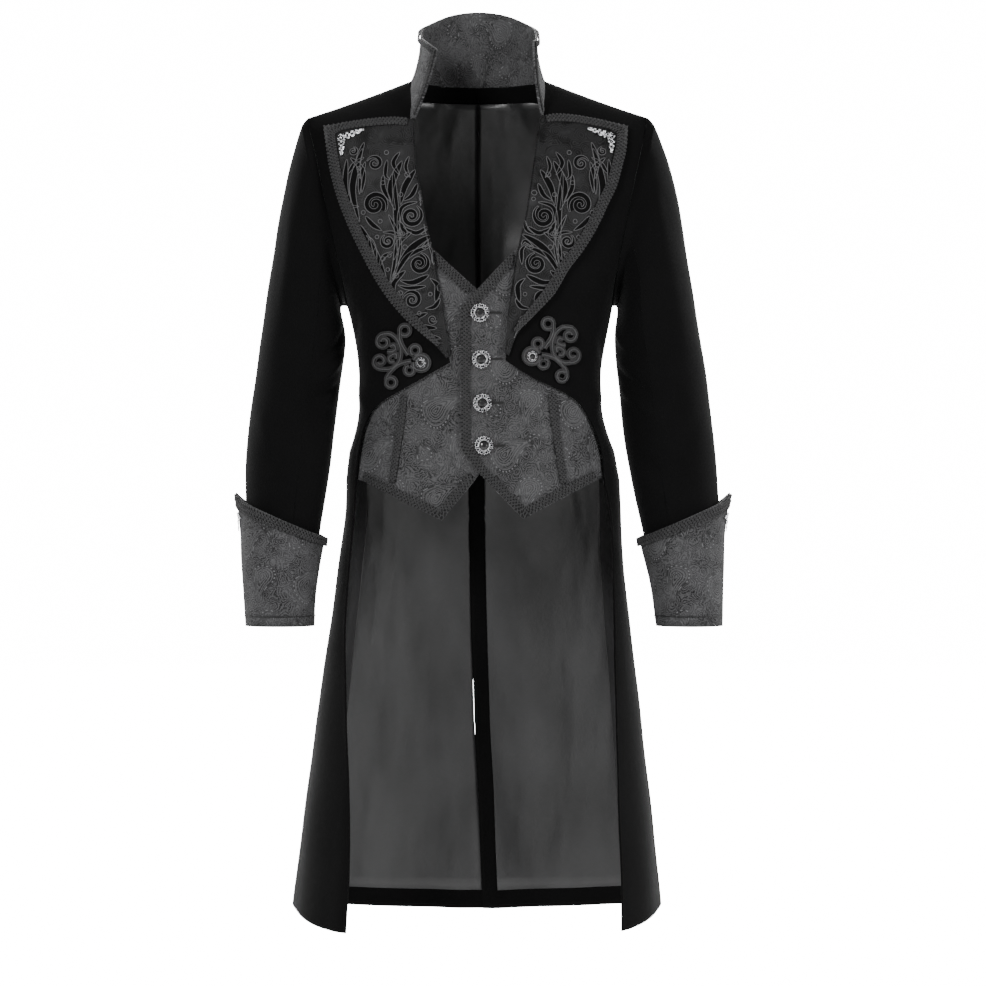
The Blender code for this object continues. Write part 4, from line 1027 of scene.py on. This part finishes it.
def hem_line(side):
    """The pressed and sewn line above a cuff's turned hem."""
    word = SIDES[side]
    low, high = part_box(f"cuff_{word}")
    middle = (low + high) / 2
    level = low.z + HEM_ROLL * MM
    cuff = Ground(f"cuff_{word}").tree
    path = []
    for turn in around(HEM_POINTS):
        way = Vector((math.cos(turn), math.sin(turn), 0))
        place, _, _, _ = cuff.ray_cast(Vector((middle.x, middle.y, level)) + way * CLEAR_OF_CUFF, -way)
        path.append(place / MM + way * HEM_LIFT)
    made = Piece(f"cuff_hem_stitching_{word}", "jacquard")
    made.add(cords([path], HEM_THREAD, closed=True), DARK_STITCH)
    made.done(sleeve_drape(side))


def make_braids():
    torso = (torso_drape,)
    for side, word in SIDES.items():
        sleeve = (sleeve_drape(side),)
        hem_line(side)
        braid(f"lapel_looped_braid_{word}", f"lapel_braid_{word}", forward, WIDE_COLUMNS, torso)
        braid(f"cuff_looped_braid_{word}", f"cuff_braid_{word}", from_cuff(word), WIDE_COLUMNS, sleeve)
        braid(f"seam_looped_braid_{word}", f"waistcoat_seam_braid_{word}", forward, SLIM_COLUMNS, torso)
    for name, node in (("edge_looped_braid", "waistcoat_edge_braid_right"),
                       ("neck_looped_braid", "waistcoat_neck_braid_left"),
                       ("hem_looped_braid", "waistcoat_hem_braid_left")):
        braid(name, node, forward, WIDE_COLUMNS, torso)
    braid("collar_looped_braid", "collar_braid", from_axis(*COLLAR_AXIS), SLIM_COLUMNS, ())


# Scrollwork on the lapels

SPIRAL_POINTS, SPIRAL_DRAW = 22, 0.85


def spiral(x, z, radius, turns, start, sense, inner=1.6):
    """A flat spiral from its outside in, drawn in a little faster at first."""
    count = int(turns * SPIRAL_POINTS)
    path = []
    for i in range(count + 1):
        t = i / count
        angle = math.radians(start) + sense * 2 * math.pi * turns * t
        reach = radius + (inner - radius) * t**SPIRAL_DRAW
        path.append((x + reach * math.cos(angle), z + reach * math.sin(angle)))
    return path


SCROLLS = (
    # x, z, radius, turns, start, sense, stroke
    (131, -166, 20.5, 1.75, 215, -1, 7.8),
    (84, -182, 18.0, 1.7, 120, 1, 7.2),
    (114, -214, 12.0, 1.45, 60, -1, 5.6),
    (74, -243, 17.0, 1.75, 100, 1, 6.8),
    (83, -289, 15.5, 1.65, 10, 1, 6.2),
    (132, -112, 13.0, 1.5, 20, 1, 5.4),
    (160, -95, 7.5, 1.15, 100, 1, 4.0),
    (57, -314, 7.5, 1.15, 200, 1, 4.0),
)
LEAVES = (
    # foot x, z, middle x, z, tip x, z, width
    (112, -274, 102, -214, 108, -124, 7.5), (111, -268, 86, -226, 57, -206, 9.0),
    (107, -263, 89, -234, 60, -221, 6.0), (114, -270, 127, -234, 150, -192, 6.5),
    (120, -258, 130, -240, 130, -222, 5.5), (151, -188, 160, -142, 148, -92, 8.5),
    (156, -178, 169, -146, 168, -106, 7.0), (148, -150, 147, -122, 163, -104, 6.5),
    (150, -132, 153, -108, 146, -84, 6.0), (105, -174, 111, -144, 97, -110, 9.0),
    (98, -167, 93, -144, 80, -122, 8.0), (110, -164, 120, -146, 121, -128, 6.0),
    (95, -162, 84, -155, 77, -140, 6.0), (105, -208, 92, -206, 100, -188, 6.0),
    (106, -238, 100, -216, 84, -203, 6.0), (122, -200, 134, -192, 143, -181, 6.0),
    (98, -264, 82, -267, 62, -258, 7.0), (101, -270, 88, -274, 66, -272, 5.0),
    (60, -262, 51, -272, 53, -292, 7.0), (106, -284, 106, -266, 92, -252, 7.0),
    (100, -302, 84, -311, 64, -306, 6.5), (95, -309, 76, -322, 52, -325, 7.0),
    (78, -324, 62, -334, 47, -338, 5.0), (66, -300, 55, -298, 48, -288, 5.5),
    (94, -196, 78, -204, 64, -196, 5.5), (126, -250, 136, -226, 138, -208, 5.0),
    (100, -128, 108, -112, 100, -98, 5.5), (146, -104, 158, -112, 166, -124, 5.0),
    (64, -218, 56, -226, 56, -244, 5.0), (112, -296, 102, -292, 100, -278, 5.0),
    (152, -168, 164, -166, 164, -150, 5.0), (112, -134, 118, -128, 116, -108, 5.0),
    (106, -262, 99, -216, 113, -180, 5.0), (101, -206, 97, -172, 77, -164, 5.0),
    (102, -312, 102, -300, 98, -288, 5.0), (151, -152, 150, -132, 144, -110, 5.0),
    (101, -232, 103, -206, 120, -202, 4.5), (124, -246, 120, -234, 108, -228, 4.5),
    (142, -206, 134, -214, 128, -236, 4.5), (86, -132, 92, -118, 88, -104, 4.5),
    (72, -206, 62, -200, 60, -188, 4.5), (70, -222, 60, -214, 56, -220, 4.0),
)
RINGS = ((90, -128, 3.2), (72, -152, 3.2), (71, -160, 2.4), (98, -154, 2.8), (95, -205, 2.8),
         (103, -258, 3.0), (98, -280, 2.8), (92, -222, 3.0), (146, -176, 2.6), (121, -138, 2.6),
         (117, -98, 2.8), (152, -118, 2.4), (68, -222, 2.4), (124, -188, 2.6), (120, -236, 2.6),
         (112, -232, 2.4), (60, -282, 2.4), (74, -306, 2.4), (114, -250, 2.4), (128, -208, 2.4))


def stroke_sides(path, widths):
    """The two edges of a flat stroke of changing width."""
    left, right = [], []
    for i, point in enumerate(path):
        way = (Vector(path[min(i + 1, len(path) - 1)]) - Vector(path[max(i - 1, 0)])).normalized()
        across = Vector((-way.y, way.x)) * widths[i] / 2
        left.append(Vector(point) + across)
        right.append(Vector(point) - across)
    return left, right


APPLIED_FOOT, APPLIED_RISE, APPLIED_CUTS = 0.15, 0.9, 3
OUTLINE_LIFT, OUTLINE_CORD = 0.5, 1.2
RING_POINTS = 14


def applied(ground, side, path, widths):
    """A raised velvet shape on the cloth, domed across, with its outline as a path of points."""
    left, right = stroke_sides(path, widths)
    work = bmesh.new()
    rows = []
    for line in (left, right):
        verts = [work.verts.new(ground.on(side * p.x, p.y, APPLIED_FOOT) * MM) for p in line]
        rows.append([work.edges.new(pair) for pair in zip(verts, verts[1:])])
    bmesh.ops.bridge_loops(work, edges=rows[0] + rows[1])
    across = [e for e in work.edges if e not in rows[0] and e not in rows[1]]
    bmesh.ops.subdivide_edges(work, edges=across, cuts=APPLIED_CUTS)
    flat = {v for row in rows for e in row for v in e.verts}
    for corner in work.verts:
        if corner not in flat:
            corner.co = ground.on(corner.co.x / MM, corner.co.z / MM, APPLIED_RISE) * MM
    bmesh.ops.recalc_face_normals(work, faces=work.faces)
    if sum(f.normal.y for f in work.faces) > 0:
        bmesh.ops.reverse_faces(work, faces=work.faces)
    outline = [ground.on(side * p.x, p.y, OUTLINE_LIFT) for p in left + right[::-1]]
    return to_mesh(work, "applied"), outline


STROKE_START, STROKE_GROWTH, STROKE_LOSS = 0.2, 4, 0.6
LEAF_RUN, LEAF_TIP, LEAF_BELLY, LEAF_FULLNESS = 2.2, 0.4, 1.2, 0.7


def scroll_shapes():
    """Each spiral and leaf as a flat path and its widths."""
    for x, z, radius, turns, start, sense, stroke in SCROLLS:
        path = spiral(x, z, radius - stroke / 2, turns, start, sense)
        count = len(path)
        grown = [stroke * min(1.0, STROKE_START + STROKE_GROWTH * i / count) for i in range(count)]
        yield path, [wide * (1 - STROKE_LOSS * i / count) for i, wide in enumerate(grown)]
    for x0, z0, x1, z1, x2, z2, wide in LEAVES:
        path = [tuple(p) for p in smooth_line([(x0, z0), (x1, z1), (x2, z2)], LEAF_RUN)]
        last = len(path) - 1
        belly = [max(LEAF_TIP, wide * math.sin(math.pi * (i / last) ** LEAF_BELLY) ** LEAF_FULLNESS)
                 for i in range(1, last)]
        yield path, [LEAF_TIP, *belly, LEAF_TIP]


def make_scrollwork():
    for side, word in SIDES.items():
        ground = Ground(f"lapel_{word}")
        made = Piece(f"lapel_scrollwork_{word}", "lapel_satin")
        lines = []
        for path, widths in scroll_shapes():
            mesh, outline = applied(ground, side, path, widths)
            made.add(mesh, VELVET)
            lines.append(outline)
        for x, z, radius in RINGS:
            lines.append([ground.on(side * x + radius * math.cos(a), z + radius * math.sin(a), OUTLINE_LIFT)
                          for a in around(RING_POINTS)])
        made.add(cords(lines, OUTLINE_CORD, closed=True), SCROLL_CORD)
        made.done(torso_drape)


# Frogs


def circle_route(x, z, radius, start, sweep):
    count = max(6, round(abs(sweep) / 20))
    return [(x + radius * math.cos(math.radians(start + sweep * i / count)),
             z + radius * math.sin(math.radians(start + sweep * i / count))) for i in range(count + 1)]


FROG_SHIFT = {LEFT: (0.0, 0.0), RIGHT: (-3.0, 8.2)}
FROG_RUN = 1.6
FROG_CORD_GAP, FROG_CORD_THICK = 2.2, 1.95
FROG_LIFT, FROG_LEVEL, FROG_RIDGE_LIFT = 1.35, 0.16, 0.45


def frog_routes():
    """Flat routes of the frog's braid, X away from the middle, from the lowest to the topmost."""
    upper, lower = (118.9, -341.0), (123.2, -365.2)
    inward = spiral(*upper, 9.9, 1.2, 80, -1, inner=2.9)[::-1]
    onward = spiral(*lower, 9.9, 1.2, -90, 1, inner=2.9)
    sweep = [(111, -331.0), (104.0, -335.6), (99.0, -344), (96.8, -355), (99.6, -366.6), (107, -374.0),
             (115.5, -376.0)]
    return (
        [(111, -347), (106.0, -345), (103.5, -350), (108, -353.5), (114, -353.5)],
        [(103, -363), (102.5, -357), (108, -357.5), (112, -361.5), (110, -366.5), (105, -366)],
        inward + sweep + onward,
        circle_route(92, -327, 6.6, 310, -330) + [(98.4, -336), (95.0, -346), (87.5, -358)],
        [(84, -366), (92, -367.5), (101, -371), (109, -378), (114.6, -386)]
        + circle_route(109.3, -392.8, 6.2, 15, -330),
        circle_route(86, -377.4, 5.7, 100, 345),
        circle_route(79, -352.4, 6.1, -70, 345),
        circle_route(71.4, -368.2, 9.9, 20, 345),
    )


def make_frogs():
    for side, word in SIDES.items():
        ground = Ground(f"front_{word}")
        shift_x, shift_z = FROG_SHIFT[side]
        made = Piece(f"frog_braid_{word}", "braid", f"frog_{word}")
        for level, route in enumerate(frog_routes()):
            fine = smooth_line(route, FROG_RUN)
            # The darker side cords are painted shade, and the lighter middle cord is a painted highlight on
            # the ridge
            for offset, look in ((-FROG_CORD_GAP, FROG_CORD_PAINTED_SHADE), (0.0, FROG_RIDGE_PAINTED_HIGHLIGHT), (FROG_CORD_GAP, FROG_CORD_PAINTED_SHADE)):
                edge, _ = stroke_sides([tuple(p) for p in fine], [2 * offset] * len(fine))
                lift = FROG_LIFT + FROG_LEVEL * level + (FROG_RIDGE_LIFT if offset == 0 else 0.0)
                path = [ground.on(side * (p.x + shift_x), p.y + shift_z, lift) for p in edge]
                made.add(cords([path], FROG_CORD_THICK, sides=2), look)
        made.done(torso_drape)


# Buttons, corners and buttonholes


def bead(work, place, radius):
    bmesh.ops.create_icosphere(work, subdivisions=1, radius=radius, matrix=Matrix.Translation(place))


def polar(out, turn, level):
    return (out * math.cos(turn), out * math.sin(turn), level)


def hoop(radius, place, parts):
    return [Vector((place[0] + radius * math.cos(a), place[1] + radius * math.sin(a), place[2]))
            for a in around(parts)]


# Shares of a button's radius
SEAT_FOOT, SEAT_TOP, SEAT_HIGH, SEAT_LEVEL = 0.78, 0.86, 0.24, 0.16
LACE_RADIUS, LACE_OUT, LACE_LEVEL, LACE_WIRE = 0.16, 0.78, 0.36, 0.09
BUTTON_BEADS = ((0.94, 0.34, 0.085), (0.6, 0.47, 0.075))
RIM_RADIUS, RIM_LEVEL, RIM_WIRE = 0.57, 0.42, 0.1
STONE_FOOT, STONE_TOP, STONE_HIGH, STONE_LEVEL, STONE_BEVEL = 0.56, 0.28, 0.24, 0.54, 0.035

ROUND_PARTS, LACE_PARTS, STONE_PARTS = 28, 14, 8


def button_meshes(size, lobes):
    """A button about its own Z in mm: a seat whose near-black tone is painted shade between the lace lobes,
    lacy rim with beads, and a cut stone.
    """
    seat = bmesh.new()
    bmesh.ops.create_cone(seat, cap_ends=True, segments=ROUND_PARTS, radius1=SEAT_FOOT * size,
                          radius2=SEAT_TOP * size, depth=SEAT_HIGH * size,
                          matrix=Matrix.Translation((0, 0, SEAT_LEVEL * size)))
    beads = bmesh.new()
    lace = []
    for turn in around(lobes):
        lace.append(hoop(LACE_RADIUS * size, polar(LACE_OUT * size, turn, LACE_LEVEL * size), LACE_PARTS))
        for out, level, radius in BUTTON_BEADS:
            bead(beads, polar(out * size, turn + math.pi / lobes, level * size), radius * size)
    ring = hoop(RIM_RADIUS * size, (0, 0, RIM_LEVEL * size), ROUND_PARTS)
    stone = bmesh.new()
    bmesh.ops.create_cone(stone, cap_ends=True, segments=STONE_PARTS, radius1=STONE_FOOT * size,
                          radius2=STONE_TOP * size, depth=STONE_HIGH * size,
                          matrix=Matrix.Translation((0, 0, STONE_LEVEL * size)))
    bmesh.ops.bevel(stone, geom=list(stone.edges), offset=STONE_BEVEL * size, segments=1, profile=0.5,
                    affect="EDGES", material=-1)
    return seat, beads, lace, ring, stone


def make_button(name, node, slot, size, lobes, ground):
    middle = middle_of(node)
    front = ground.on(middle.x, middle.z)
    right, up = (ground.on(middle.x + 2, middle.z), ground.on(middle.x, middle.z + 2))
    out = (right - front).cross(up - front).normalized()
    if out.y > 0:
        out = -out
    turn = out.to_track_quat("Z", "Y").to_matrix().to_4x4()
    place = Matrix.Translation(front) @ turn
    made = Piece(name, slot, node)
    seat, beads, lace, ring, stone = button_meshes(size, lobes)
    # The seat's near-black finish is painted shade between the lace lobes
    for work, look, flat in ((seat, SEAT_METAL_PAINTED_SHADE, False), (beads, SILVER, False), (stone, STONE, True)):
        bmesh.ops.transform(work, matrix=Matrix.Scale(MM, 4) @ place, verts=work.verts)
        made.add(to_mesh(work, "part"), look, flat)
    for loops, wire in ((lace, LACE_WIRE), ([ring], RIM_WIRE)):
        made.add(cords([[place @ p for p in loop] for loop in loops], wire * size, closed=True), SILVER)
    made.done(torso_drape)


# Pitch, low and high share of the width, lift, where the loops start
FILIGREE_LOOPS = ((6.4, -0.05, 0.62, -0.2, 0.0), (7.6, 0.38, 1.05, -0.1, 1.4))
FILIGREE_WIRE, FILIGREE_INSET = 0.85, 0.9
BEAD_ROWS, BEAD_GAP, BEAD_SMALL, BEAD_GROWTH = (0.12, 0.5, 0.88), 5.2, 0.5, 0.4


def filigree(name, node, outward, drapes):
    """A lacy metal corner: looped wires with beads along a plate's place."""
    band = Band(node, outward)
    made = Piece(name, "silver", node)
    paths = [looped(band, pitch, low, high, FILIGREE_INSET, lift, start)
             for pitch, low, high, lift, start in FILIGREE_LOOPS]
    made.add(cords(paths, FILIGREE_WIRE), BRIGHT_SILVER)
    beads = bmesh.new()
    count = max(4, round(band.length / BEAD_GAP))
    for i in range(count + 1):
        along = band.length * i / count
        radius = BEAD_SMALL + BEAD_GROWTH * (i % 3 == 1)
        for share in BEAD_ROWS:
            bead(beads, band.at(along + share, share, 0.0) * MM, radius * MM)
    made.add(to_mesh(beads, "beads"), BRIGHT_SILVER)
    made.done(*drapes)


BUTTONS = (1, 2, 3, 4)
# Radius and lobes
STONE_BUTTON, FROG_BUTTON = (12.0, 10), (7.0, 8)
BUTTONHOLE_AWAY, BUTTONHOLE_LONG, BUTTONHOLE_HIGH = 20.0, 14.0, 2.4
BUTTONHOLE_ROWS, BUTTONHOLE_CORD, BUTTONHOLE_LIFT = (0.0, 0.9), 1.1, 0.35


def make_buttonholes(vest):
    """A corded slit beside each button, squarer than an oval at its ends."""
    made = Piece("buttonholes", "jacquard")
    slits = []
    for number in BUTTONS:
        middle = middle_of(f"waistcoat_button_{number}")
        for inset in BUTTONHOLE_ROWS:
            slit = []
            for turn in around(ROUND_PARTS):
                x = middle.x + BUTTONHOLE_AWAY + (BUTTONHOLE_LONG / 2 - inset) * math.cos(turn)
                rise = math.copysign(abs(math.sin(turn)) ** 0.5, math.sin(turn))
                slit.append(vest.on(x, middle.z + (BUTTONHOLE_HIGH / 2 - inset) * rise, BUTTONHOLE_LIFT))
            slits.append(slit)
    made.add(cords(slits, BUTTONHOLE_CORD, closed=True), DARK_STITCH)
    made.done(torso_drape)


def make_metal():
    vest = Ground("waistcoat_front_right")
    for number in BUTTONS:
        make_button(f"stone_button_{number}", f"waistcoat_button_{number}", "button", *STONE_BUTTON, vest)
    make_buttonholes(vest)
    for side, word in SIDES.items():
        make_button(f"frog_filigree_button_{word}", f"frog_button_{word}", "silver", *FROG_BUTTON,
                    Ground(f"front_{word}"))
        filigree(f"lapel_filigree_{word}", f"lapel_corner_{word}", forward, (torso_drape,))
        filigree(f"cuff_filigree_{word}", f"cuff_corner_{word}", from_cuff(word), (sleeve_drape(side),))


set_camera()
set_studio()
make_cloths()
make_braids()
make_scrollwork()
make_frogs()
make_metal()
